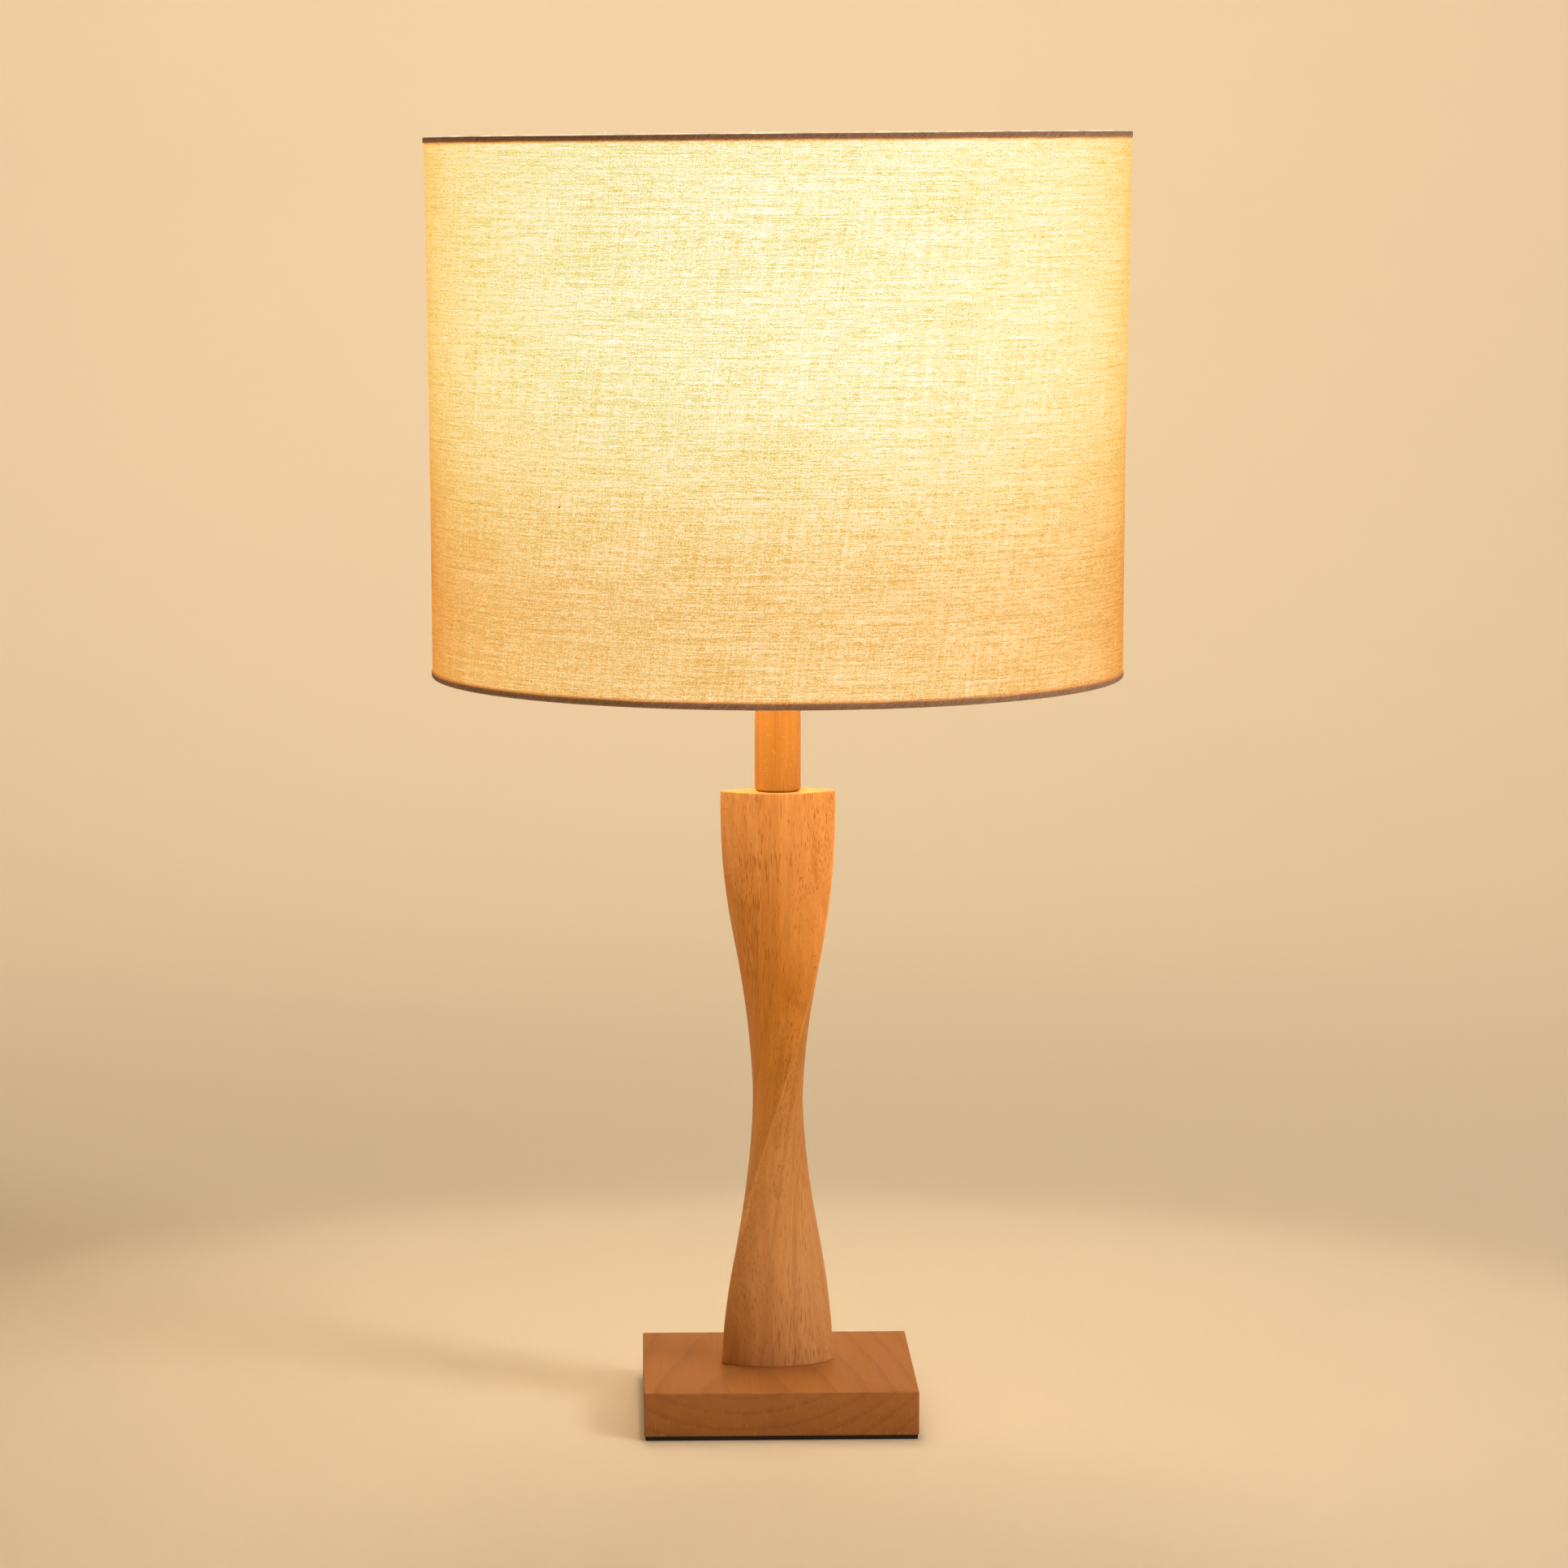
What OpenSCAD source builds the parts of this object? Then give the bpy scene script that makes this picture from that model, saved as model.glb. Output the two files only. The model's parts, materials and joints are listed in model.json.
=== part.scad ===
// Table lamp: square wooden base, twisted wooden column, round neck, tapered drum shade.
// Millimetres. +Z up, origin at the centre of the underside of the foot pad, front is -Y.

/* [Base] */
// Width and depth of the square base block
base_w = 130; // [110:1:160]
// Thickness of the base block
base_h = 21; // [18:0.5:30]
// Radius of the base block's upright corners
base_corner_r = 1; // [0.5:0.1:3]
// Width of the eased edge round the top of the base block
base_ease = 0.6; // [0.3:0.1:1.5]
// Thickness of the foot pad
pad_t = 2; // [1:0.5:3]
// How far the pad stands inside the block's edge
pad_inset = 0.5; // [0.2:0.1:2]

/* [Column] */
// Height of the twisted column
column_h = 278.5; // [200:0.5:360]
// Long axis of the column's lens-shaped section
column_w = 55; // [45:0.5:65]
// Short axis of the column's section
column_t = 24; // [20:0.5:32]
// Fullness of the section's two flanks
flank_power = 2.35; // [2:0.05:3]
// Roundness of the section's two edges, 1 is sharp
edge_power = 1.08; // [1:0.02:1.4]
// Turn of the section from the bottom of the column to the top
twist_deg = 175; // [90:1:240]
// Turn that the ends give up to the middle
twist_ease_deg = 7; // [0:0.5:12]
// Direction of the section's long axis at the top
top_turn_deg = 2.4; // [-10:0.1:10]

/* [Neck] */
// Diameter of the neck dowel
neck_d = 22; // [18:0.5:24]
// Length of the neck dowel
neck_h = 80; // [70:1:100]

/* [Shade] */
// Outer diameter of the fabric at the top
shade_top_d = 333; // [280:1:360]
// Outer diameter of the fabric at the bottom
shade_bottom_d = 328; // [280:1:360]
// Height of the shade over its trims
shade_h = 255; // [245:1:270]
// How far the bottom rim hangs below the harp saddle
shade_cover = 26.5; // [15:0.5:35]
// How far the spider hub sits below the top rim
fitter_drop = 25; // [24:0.5:35]
// Thickness of the woven fabric
fabric_t = 0.5; // [0.3:0.1:0.8]
// Thickness of the stiff plastic liner
liner_t = 0.4; // [0.3:0.1:0.8]
// Height of the folded trim on the outside
trim_h = 3.4; // [2.5:0.1:8]

/* [Lamp holder] */
// Outer diameter of the threaded tube that clamps the stack
tube_d = 9.6; // [9:0.1:10]
// Bore of the threaded tube
tube_bore_d = 7; // [5:0.5:7.5]
// Diameter of the harp wire
harp_wire_d = 4.4; // [3.5:0.1:5]
// Greatest half width of the harp, to the middle of the wire
harp_half_w = 57; // [50:1:62]
// Diameter of the bulb
bulb_d = 60; // [54:1:62]

/* [Hidden] */
$fn = 96;

// Heights of the stack, from the surface that the lamp stands on
base_top_z = pad_t + base_h;
column_top_z = base_top_z + column_h;
neck_top_z = column_top_z + neck_h;
check_ring_t = 2;
saddle_z = neck_top_z + check_ring_t;
saddle_t = 1.6;
cap_z = saddle_z + saddle_t;
shade_z = saddle_z - shade_cover;
shade_top_z = shade_z + shade_h;

// Holes down the wooden stack and under the base
wood_bore_r = tube_d / 2 + 0.5;
recess_r = 23;
recess_h = 12;
recess_top_z = pad_t + recess_h;
washer_r = 14;
washer_t = 1.5;
nut_r = 8.4;
nut_h = 5;
tube_z = recess_top_z - washer_t - nut_h - 2;
tube_in_cap = 6;

// Cord inlet in the back edge of the base
inlet_z = pad_t + 7;
gland_r = 4.5;
gland_bore_r = 3.25;
gland_flange_r = 6.5;
gland_flange_t = 1.5;
gland_l = 15;

// Facets of the twisted column
section_n = 36;
ring_n = 50;

// Lamp socket, measured up from its cap
cap_h = 21;
cap_r = 16.6;
sheet_t = 0.7;
shell_r = 15.85;
shell_t = 0.6;
shell_low_z = cap_z + 13;
shell_top_z = cap_z + 66;
sleeve_r = shell_r - shell_t - 0.05;
sleeve_wall = 0.7;
socket_body_r = 13.6;
socket_body_z = cap_z + 15;
socket_floor_z = cap_z + 39;
screw_shell_t = 0.25;
contact_w = 6;
contact_t = 0.5;
contact_rise = 2;
terminal_r = 3;
terminal_shank_r = 1.5;
terminal_head_t = 1.6;
terminal_flat_x = 11.2;
terminal_z = cap_z + 24;

// Rotary switch in the side of the socket
switch_z = cap_z + 33;
shaft_r = 2.4;
shaft_inner_y = 7;
shaft_outer_y = 34;
shaft_gap = 0.1;
shell_hole_r = 3.4;
knob_r = 6.5;
knob_inner_y = 21;
knob_l = 15;
knob_flutes = 14;
knob_flute_r = 0.9;

// Bulb, measured up from its contact
bulb_z = socket_floor_z + contact_t + contact_rise + 0.3;
bulb_thread_r = 13.1;
bulb_thread_h = 22;
bulb_tip_h = 1;
bulb_insulator_h = 3;
bulb_neck_z = bulb_z + bulb_tip_h + bulb_insulator_h + bulb_thread_h;
bulb_wall = 1;
bulb_collar_r = 24.5;
bulb_collar_h = 30;
bulb_collar_z = bulb_neck_z + bulb_collar_h;
bulb_r = bulb_d / 2;
bulb_centre_z = bulb_collar_z + sqrt(pow(bulb_r, 2) - pow(bulb_collar_r, 2));

// Harp: a leg, a bend outwards, a straight and the top arch, the same on both sides
harp_r = harp_wire_d / 2;
hub_t = 1.6;
hub_top_z = shade_top_z - fitter_drop;
hub_z = hub_top_z - hub_t;
hub_r = 12.5;
hub_hole_r = 5.6;
joint_gap = 0.1;
stud_disc_r = 10;
stud_disc_t = 2;
stud_disc_z = hub_z - joint_gap - stud_disc_t;
stud_boss_r = 5.3;
stud_r = 3.1;
stud_top_z = hub_top_z + 7;
stud_collar_r = 4.5;
harp_top_z = stud_disc_z - harp_r;
leg_x = 29;
bend_r = 40;
lean_deg = 16;
arch_z = harp_top_z - harp_half_w;
arch_foot_x = harp_half_w * cos(lean_deg);
arch_foot_z = arch_z - harp_half_w * sin(lean_deg);
bend_top_x = leg_x + bend_r * (1 - cos(lean_deg));
bend_steps = 4;
arch_steps = 16;
harp_sides = 16;
straight_l = (arch_foot_x - bend_top_x) / sin(lean_deg);
bend_top_z = arch_foot_z - straight_l * cos(lean_deg);
leg_top_z = bend_top_z - bend_r * sin(lean_deg);
tab_top_z = saddle_z + 20;
tab_low_z = saddle_z + 10;
tab_half_w = 1.8;
saddle_w = 13;
saddle_flat_x = 18;
sleeve_in_r = harp_r + 0.55;
sleeve_out_r = sleeve_in_r + 1.05;
harp_sleeve_h = 11;
harp_sleeve_clear = 0.8;
harp_sleeve_z = tab_low_z + saddle_t + harp_sleeve_clear;

// Finial
finial_z = hub_top_z + joint_gap;
finial_foot_r = 6.8;
finial_foot_h = 2.2;
finial_neck_r = 4.4;
finial_ball_r = 7.2;
finial_ball_z = finial_z + 11.6;
finial_bore_r = stud_r + 0.1;
finial_bore_h = 8.2;

// Shade wires and trims
trim_t = 0.5;
trim_inner_h = 8;
wire_r = 1.4;
arm_r = 1.5;
arm_bend_r = 6;
arm_count = 3;
arm_first_deg = 90;

// Radius of the fabric's outer face at a height
function wall_r(z) = shade_bottom_d / 2 + (shade_top_d - shade_bottom_d) / 2 * (z - shade_z) / shade_h;

// Height that lies a distance in from a rim, and the wire's middle and inner radius at that rim
function from_rim(rim_z, inward, d) = rim_z + inward * d;
function wire_z(rim_z, inward) = from_rim(rim_z, inward, trim_t + wire_r);
function wire_ring_r(rim_z, inward) = wall_r(wire_z(rim_z, inward)) - fabric_t - liner_t - wire_r - 0.02;

// Direction of the column's long axis, with u from -1 at the bottom to 1 at the top
function twist_at(u) = top_turn_deg - twist_deg / 2
    + (twist_deg / 2 + twist_ease_deg) * u - twist_ease_deg * pow(u, 3);

// One point of the lens section
function signed_pow(v, p) = sign(v) * pow(abs(v), p);
function section_point(a) = [
    column_w / 2 * signed_pow(cos(a), 2 / flank_power),
    column_t / 2 * signed_pow(sin(a), 2 / edge_power)
];
function turned(p, a) = [p[0] * cos(a) - p[1] * sin(a), p[0] * sin(a) + p[1] * cos(a)];

// ---- base ----

module rounded_slab(w, h, r) {
    inner = w / 2 - r;
    translate([-w / 2, -inner, 0]) cube([w, 2 * inner, h]);
    translate([-inner, -w / 2, 0]) cube([2 * inner, w, h]);
    for (x = [-inner, inner], y = [-inner, inner])
        translate([x, y, 0]) cylinder(r = r, h = h);
}

// Bevel that runs along the top edge of each of the four sides
module edge_bevels(w, top_z, c) {
    for (a = [0:90:270])
        rotate([0, 0, a])
            translate([-w / 2 - 1, -w / 2, top_z])
                rotate([45, 0, 0])
                    translate([0, -c * 3, -c / sqrt(2)]) cube([w + 2, c * 6, c * 4]);
}

module foot_pad() {
    color("#1c1a18") rounded_slab(base_w - 2 * pad_inset, pad_t, base_corner_r);
}

module base_block() {
    color("#a8642f")
        difference() {
            translate([0, 0, pad_t]) rounded_slab(base_w, base_h, base_corner_r);
            edge_bevels(base_w, base_top_z, base_ease);
            translate([0, 0, pad_t - 1]) cylinder(r = recess_r, h = recess_h + 1);
            translate([0, 0, pad_t]) cylinder(r = wood_bore_r, h = base_h + 1);
            translate([0, base_w / 2 + 1, inlet_z])
                rotate([90, 0, 0]) cylinder(r = gland_r, h = base_w / 2 - recess_r / 2);
        }
}

module cord_gland() {
    color("#1f1f1f")
        translate([0, base_w / 2 + gland_flange_t, inlet_z])
            rotate([90, 0, 0])
                difference() {
                    union() {
                        cylinder(r = gland_flange_r, h = gland_flange_t);
                        cylinder(r = gland_r, h = gland_flange_t + gland_l);
                    }
                    translate([0, 0, -1])
                        cylinder(r = gland_bore_r, h = gland_flange_t + gland_l + 2);
                }
}

// ---- clamping stack ----

module ring(outer_r, inner_r, h) {
    difference() {
        cylinder(r = outer_r, h = h);
        translate([0, 0, -1]) cylinder(r = inner_r, h = h + 2);
    }
}

module clamp_washer() {
    color("#b9bcc0") translate([0, 0, recess_top_z - washer_t]) ring(washer_r, tube_d / 2, washer_t);
}

module clamp_nut() {
    color("#b9bcc0")
        translate([0, 0, recess_top_z - washer_t - nut_h])
            difference() {
                cylinder(r = nut_r, h = nut_h, $fn = 6);
                translate([0, 0, -1]) cylinder(r = tube_d / 2, h = nut_h + 2);
            }
}

module threaded_tube() {
    color("#c3c4c6")
        translate([0, 0, tube_z]) ring(tube_d / 2, tube_bore_d / 2, cap_z + tube_in_cap - tube_z);
}

// ---- column and neck ----

// Lens section swept up the column, turning as it rises
module twisted_solid() {
    points = [
        for (i = [0:ring_n], j = [0:section_n - 1])
            let (p = turned(section_point(j * 360 / section_n), twist_at(2 * i / ring_n - 1)))
                [p[0], p[1], base_top_z + column_h * i / ring_n]
    ];
    sides = [
        for (i = [0:ring_n - 1], j = [0:section_n - 1])
            let (k = (j + 1) % section_n, low = i * section_n, high = low + section_n)
                each [[low + j, high + j, high + k], [low + j, high + k, low + k]]
    ];
    last = ring_n * section_n;
    bottom = [for (j = [0:section_n - 1]) j];
    top = [for (j = [section_n - 1:-1:0]) last + j];
    polyhedron(points = points, faces = concat(sides, [bottom, top]), convexity = 8);
}

module twisted_column() {
    color("#b86f35")
        difference() {
            twisted_solid();
            translate([0, 0, base_top_z - 1]) cylinder(r = wood_bore_r, h = column_h + 2);
        }
}

module neck_dowel() {
    color("#c9803f")
        translate([0, 0, column_top_z])
            difference() {
                union() {
                    cylinder(r1 = neck_d / 2 - 0.5, r2 = neck_d / 2, h = 0.5);
                    translate([0, 0, 0.5]) cylinder(d = neck_d, h = neck_h - 0.5);
                }
                translate([0, 0, -1]) cylinder(r = wood_bore_r, h = neck_h + 2);
            }
}

module check_ring() {
    color("#b08d57") translate([0, 0, neck_top_z]) ring(neck_d / 2 + 1.5, tube_d / 2, check_ring_t);
}

// ---- harp and its saddle ----

// One arm of the saddle, rising from the flat to the upright tab
module saddle_arm() {
    tab_x = leg_x - joint_gap / 2 - saddle_t;
    rise = tab_low_z - saddle_z;
    run = tab_x - saddle_flat_x;
    slope_deg = atan2(rise, run);
    translate([saddle_flat_x, -saddle_w / 2, saddle_z])
        rotate([0, -slope_deg, 0]) cube([norm([rise, run]) + saddle_t * 0.8, saddle_w, saddle_t]);
    translate([tab_x, -tab_half_w, tab_low_z]) cube([saddle_t, 2 * tab_half_w, tab_top_z - tab_low_z]);
}

module harp_saddle() {
    color("#b9bcc0")
        difference() {
            union() {
                translate([-saddle_flat_x - 0.3, -saddle_w / 2, saddle_z])
                    cube([2 * saddle_flat_x + 0.6, saddle_w, saddle_t]);
                saddle_arm();
                mirror([1, 0, 0]) saddle_arm();
            }
            translate([0, 0, saddle_z - 1]) cylinder(r = tube_d / 2, h = saddle_t + 2);
        }
}

// Middle of the wire on the right side, foot to top, as [x, z, lean from upright]
function harp_right_side() = concat(
    [[leg_x, tab_low_z + saddle_t, 0]],
    [
        for (i = [0:bend_steps])
            let (a = lean_deg * i / bend_steps)
                [leg_x + bend_r * (1 - cos(a)), leg_top_z + bend_r * sin(a), a]
    ],
    [
        for (i = [0:arch_steps])
            let (a = -lean_deg + (90 + lean_deg) * i / arch_steps)
                [harp_half_w * cos(a), arch_z + harp_half_w * sin(a), -a]
    ]
);

// The whole wire: up the right side, then down its mirror image
function harp_path() = let (right = harp_right_side())
    concat(right, [for (i = [len(right) - 2:-1:0]) [-right[i][0], right[i][1], 180 - right[i][2]]]);

// Round wire bent in the XZ plane along a path of [x, z, lean]
module bent_wire(path, r, sides) {
    points = [
        for (p = path, j = [0:sides - 1])
            let (a = j * 360 / sides, across = r * cos(a))
                [p[0] + across * cos(p[2]), r * sin(a), p[1] - across * sin(p[2])]
    ];
    walls = [
        for (i = [0:len(path) - 2], j = [0:sides - 1])
            let (k = (j + 1) % sides, low = i * sides, high = low + sides)
                each [[low + j, low + k, high + k], [low + j, high + k, high + j]]
    ];
    last = (len(path) - 1) * sides;
    start_cap = [for (j = [sides - 1:-1:0]) j];
    end_cap = [for (j = [0:sides - 1]) last + j];
    polyhedron(points = points, faces = concat(walls, [start_cap, end_cap]), convexity = 6);
}

module harp_wire() {
    color("#c3c4c6")
        difference() {
            bent_wire(harp_path(), harp_r, harp_sides);
            // The foot of each leg is flattened, so that it lies against the saddle's tab
            for (side = [0, 1])
                mirror([side, 0, 0])
                    translate([leg_x - 2 * harp_r, -harp_r - 1, tab_low_z])
                        cube([
                            2 * harp_r + joint_gap / 2, 2 * harp_r + 2,
                            tab_top_z - tab_low_z + joint_gap
                        ]);
        }
}

module harp_stud() {
    color("#b08d57")
        difference() {
            union() {
                translate([0, 0, stud_disc_z]) cylinder(r = stud_disc_r, h = stud_disc_t);
                translate([0, 0, harp_top_z - 1]) cylinder(r = stud_collar_r, h = harp_r + 1.5);
                translate([0, 0, stud_disc_z]) cylinder(r = stud_boss_r, h = stud_disc_t + hub_t);
                translate([0, 0, stud_disc_z]) cylinder(r = stud_r, h = stud_top_z - stud_disc_z);
            }
            translate([0, 0, arch_z])
                rotate([90, 0, 0]) rotate_extrude() translate([harp_half_w, 0]) circle(r = harp_r);
        }
}

module harp_sleeve(side) {
    color("#b08d57")
        translate([side * leg_x, 0, harp_sleeve_z]) ring(sleeve_out_r, sleeve_in_r, harp_sleeve_h);
}

module left_harp_sleeve() {
    harp_sleeve(-1);
}

module right_harp_sleeve() {
    harp_sleeve(1);
}

// ---- lamp socket ----

module socket_cap() {
    color("#b08d57")
        translate([0, 0, cap_z])
            rotate_extrude()
                polygon([
                    [tube_d / 2, 0], [8, 0], [8, 5], [13, 7.2], [cap_r, 12.5], [cap_r, cap_h],
                    [cap_r - sheet_t, cap_h], [cap_r - sheet_t, 12.8], [12.6, 8], [7.6, 6],
                    [tube_d / 2, 6]
                ]);
}

// Hole in the socket's side for the switch shaft
module switch_hole(r) {
    translate([0, 0, switch_z]) rotate([90, 0, 0]) cylinder(r = r, h = cap_r + 2);
}

module socket_shell() {
    color("#b08d57")
        difference() {
            union() {
                translate([0, 0, shell_low_z]) ring(shell_r, shell_r - shell_t, shell_top_z - shell_low_z);
                translate([0, 0, shell_top_z - 1.2]) ring(shell_r + 0.6, shell_r - shell_t, 1.2);
            }
            switch_hole(shell_hole_r);
        }
}

module insulating_sleeve() {
    color("#c9a877")
        difference() {
            translate([0, 0, shell_low_z + 1])
                ring(sleeve_r, sleeve_r - sleeve_wall, shell_top_z - shell_low_z - 3);
            switch_hole(shell_hole_r);
        }
}

module socket_body() {
    color("#22201e")
        difference() {
            translate([0, 0, socket_body_z]) cylinder(r = socket_body_r, h = socket_floor_z - socket_body_z);
            // Flats for the two terminals
            for (side = [0, 1])
                mirror([side, 0, 0])
                    translate([terminal_flat_x, -socket_body_r, terminal_z - 5])
                        cube([socket_body_r, 2 * socket_body_r, 10]);
            translate([-terminal_flat_x - 1, 0, terminal_z])
                rotate([0, 90, 0]) cylinder(r = terminal_shank_r, h = 5);
            translate([terminal_flat_x - 4, 0, terminal_z])
                rotate([0, 90, 0]) cylinder(r = terminal_shank_r, h = 5);
            translate([0, -shaft_inner_y + 1, switch_z])
                rotate([90, 0, 0]) cylinder(r = shaft_r + shaft_gap, h = socket_body_r);
        }
}

module screw_shell() {
    color("#c3c4c6")
        translate([0, 0, socket_floor_z])
            ring(socket_body_r, socket_body_r - screw_shell_t, shell_top_z - socket_floor_z - 2);
}

module centre_contact() {
    color("#c8a24a") {
        translate([-contact_w / 2, -contact_w, socket_floor_z]) cube([contact_w, 2 * contact_w, contact_t]);
        translate([0, 0, socket_floor_z]) cylinder(r = 2, h = contact_t + contact_rise);
    }
}

module terminal_screws() {
    color("#c8a24a")
        for (side = [0, 1])
            mirror([side, 0, 0])
                translate([0, 0, terminal_z])
                    rotate([0, 90, 0])
                        difference() {
                            union() {
                                translate([0, 0, terminal_flat_x - 4])
                                    cylinder(r = terminal_shank_r, h = 4.5);
                                translate([0, 0, terminal_flat_x]) cylinder(r = terminal_r, h = terminal_head_t);
                            }
                            translate([-terminal_r - 1, -0.4, terminal_flat_x + terminal_head_t - 0.8])
                                cube([2 * terminal_r + 2, 0.8, 1]);
                        }
}

module switch_shaft() {
    color("#b08d57")
        translate([0, -shaft_inner_y, switch_z])
            rotate([90, 0, 0]) cylinder(r = shaft_r, h = shaft_outer_y - shaft_inner_y);
}

module switch_knob() {
    color("#1f1f1f")
        translate([0, -knob_inner_y, switch_z])
            rotate([90, 0, 0])
                difference() {
                    union() {
                        cylinder(r1 = knob_r - 1.5, r2 = knob_r, h = 2);
                        translate([0, 0, 2]) cylinder(r = knob_r, h = knob_l - 3);
                        translate([0, 0, knob_l - 1]) cylinder(r1 = knob_r, r2 = knob_r - 1, h = 1);
                    }
                    translate([0, 0, -1]) cylinder(r = shaft_r, h = shaft_outer_y - knob_inner_y + 1);
                    for (i = [0:knob_flutes - 1])
                        rotate([0, 0, i * 360 / knob_flutes])
                            translate([knob_r + 0.3, 0, 2]) cylinder(r = knob_flute_r, h = knob_l);
                }
}

// ---- bulb ----

module bulb_tip() {
    color("#c3c4c6") translate([0, 0, bulb_z]) cylinder(r1 = 3.6, r2 = 4.6, h = bulb_tip_h);
}

module bulb_insulator() {
    color("#22201e")
        translate([0, 0, bulb_z + bulb_tip_h])
            cylinder(r1 = 5, r2 = bulb_thread_r - 1, h = bulb_insulator_h);
}

module bulb_screw_base() {
    color("#c3c4c6")
        translate([0, 0, bulb_z + bulb_tip_h + bulb_insulator_h])
            ring(bulb_thread_r, bulb_thread_r - 0.4, bulb_thread_h);
}

module bulb_housing() {
    color("#f2f0ea")
        translate([0, 0, bulb_neck_z])
            rotate_extrude()
                polygon([
                    [0, 0], [bulb_thread_r + 0.8, 0], [bulb_thread_r + 1.6, 4],
                    [bulb_collar_r, bulb_collar_h], [bulb_collar_r - bulb_wall, bulb_collar_h],
                    [bulb_collar_r - bulb_wall, bulb_collar_h - 2], [bulb_thread_r + 0.6, 4], [0, 2]
                ]);
}

module led_board() {
    color("#d8dadc")
        translate([0, 0, bulb_collar_z - 2]) cylinder(r = bulb_collar_r - bulb_wall, h = 1.6);
}

module bulb_globe() {
    color("#fff4dc")
        translate([0, 0, bulb_centre_z])
            difference() {
                sphere(r = bulb_r);
                sphere(r = bulb_r - bulb_wall);
                translate([-bulb_d, -bulb_d, bulb_collar_z - bulb_centre_z - 2 * bulb_d])
                    cube([2 * bulb_d, 2 * bulb_d, 2 * bulb_d]);
            }
}

// ---- finial ----

module finial() {
    color("#b08d57")
        difference() {
            union() {
                translate([0, 0, finial_z]) cylinder(r = finial_foot_r, h = finial_foot_h);
                translate([0, 0, finial_z]) cylinder(r = finial_neck_r, h = finial_ball_z - finial_z);
                translate([0, 0, finial_ball_z]) sphere(r = finial_ball_r);
            }
            translate([0, 0, finial_z - 1]) cylinder(r = finial_bore_r, h = finial_bore_h + 1);
        }
}

// ---- shade ----

module spider_hub() {
    color("#efece4") translate([0, 0, hub_z]) ring(hub_r, hub_hole_r, hub_t);
}

// One arm runs level out of the hub and turns up to the top ring
module spider_arm() {
    arm_z = hub_z + hub_t / 2;
    upright_r = wire_ring_r(shade_top_z, -1) - wire_r - arm_r;
    rotate([90, 0, 90])
        translate([0, arm_z, hub_r]) cylinder(r = arm_r, h = upright_r - arm_bend_r - hub_r);
    translate([upright_r - arm_bend_r, 0, arm_z + arm_bend_r])
        rotate([90, 0, 0])
            rotate([0, 0, -90])
                rotate_extrude(angle = 90) translate([arm_bend_r, 0]) circle(r = arm_r);
    translate([upright_r, 0, arm_z + arm_bend_r])
        cylinder(r = arm_r, h = wire_z(shade_top_z, -1) - arm_z - arm_bend_r);
}

module spider_arms() {
    color("#efece4")
        for (i = [0:arm_count - 1])
            rotate([0, 0, arm_first_deg + i * 360 / arm_count]) spider_arm();
}

module rim_wire(rim_z, inward) {
    color("#efece4")
        translate([0, 0, wire_z(rim_z, inward)])
            rotate_extrude() translate([wire_ring_r(rim_z, inward), 0]) circle(r = wire_r);
}

module top_ring() {
    rim_wire(shade_top_z, -1);
}

module bottom_ring() {
    rim_wire(shade_z, 1);
}

// Tapered sheet between the two trims, a distance in from the fabric's outer face
module wall_sheet(inset, t) {
    low = shade_z + trim_t;
    high = shade_top_z - trim_t;
    rotate_extrude()
        polygon([
            [wall_r(low) - inset - t, low], [wall_r(low) - inset, low],
            [wall_r(high) - inset, high], [wall_r(high) - inset - t, high]
        ]);
}

module shade_liner() {
    color("#f6f0e0") wall_sheet(fabric_t, liner_t);
}

module shade_fabric() {
    color("#ead3a6") wall_sheet(0, fabric_t);
}

// Strip folded over a rim: down the outside, over the edge, round the wire and onto the liner
module folded_strip(rim_z, inward) {
    inner_r = wire_ring_r(rim_z, inward) - wire_r;
    outer_end = from_rim(rim_z, inward, trim_h);
    inner_end = from_rim(rim_z, inward, trim_inner_h);
    under_wire = from_rim(rim_z, inward, trim_t + 2 * wire_r);
    edge = from_rim(rim_z, inward, trim_t);
    liner_r = wall_r(inner_end) - fabric_t - liner_t;
    rotate_extrude()
        polygon([
            [wall_r(outer_end) + trim_t, outer_end], [wall_r(rim_z) + trim_t, rim_z],
            [inner_r - trim_t, rim_z], [inner_r - trim_t, under_wire],
            [liner_r - trim_t, inner_end], [liner_r, inner_end], [inner_r, under_wire],
            [inner_r, edge], [wall_r(edge), edge], [wall_r(outer_end), outer_end]
        ]);
}

module top_trim() {
    color("#8f7355")
        difference() {
            folded_strip(shade_top_z, -1);
            spider_arms();
        }
}

module bottom_trim() {
    color("#8f7355") folded_strip(shade_z, 1);
}

foot_pad();
base_block();
cord_gland();
clamp_washer();
clamp_nut();
threaded_tube();
twisted_column();
neck_dowel();
check_ring();
harp_saddle();
socket_cap();
socket_shell();
insulating_sleeve();
socket_body();
screw_shell();
centre_contact();
terminal_screws();
switch_shaft();
switch_knob();
bulb_screw_base();
bulb_insulator();
bulb_tip();
bulb_housing();
led_board();
bulb_globe();
harp_wire();
harp_stud();
left_harp_sleeve();
right_harp_sleeve();
finial();
spider_hub();
spider_arms();
top_ring();
bottom_ring();
shade_liner();
shade_fabric();
top_trim();
bottom_trim();
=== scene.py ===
"""Looks of the table lamp: twisted wooden column on a square block under a lit linen drum shade."""
import json
import math

import bmesh
import bpy
from mathutils import Matrix, Vector, noise


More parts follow.
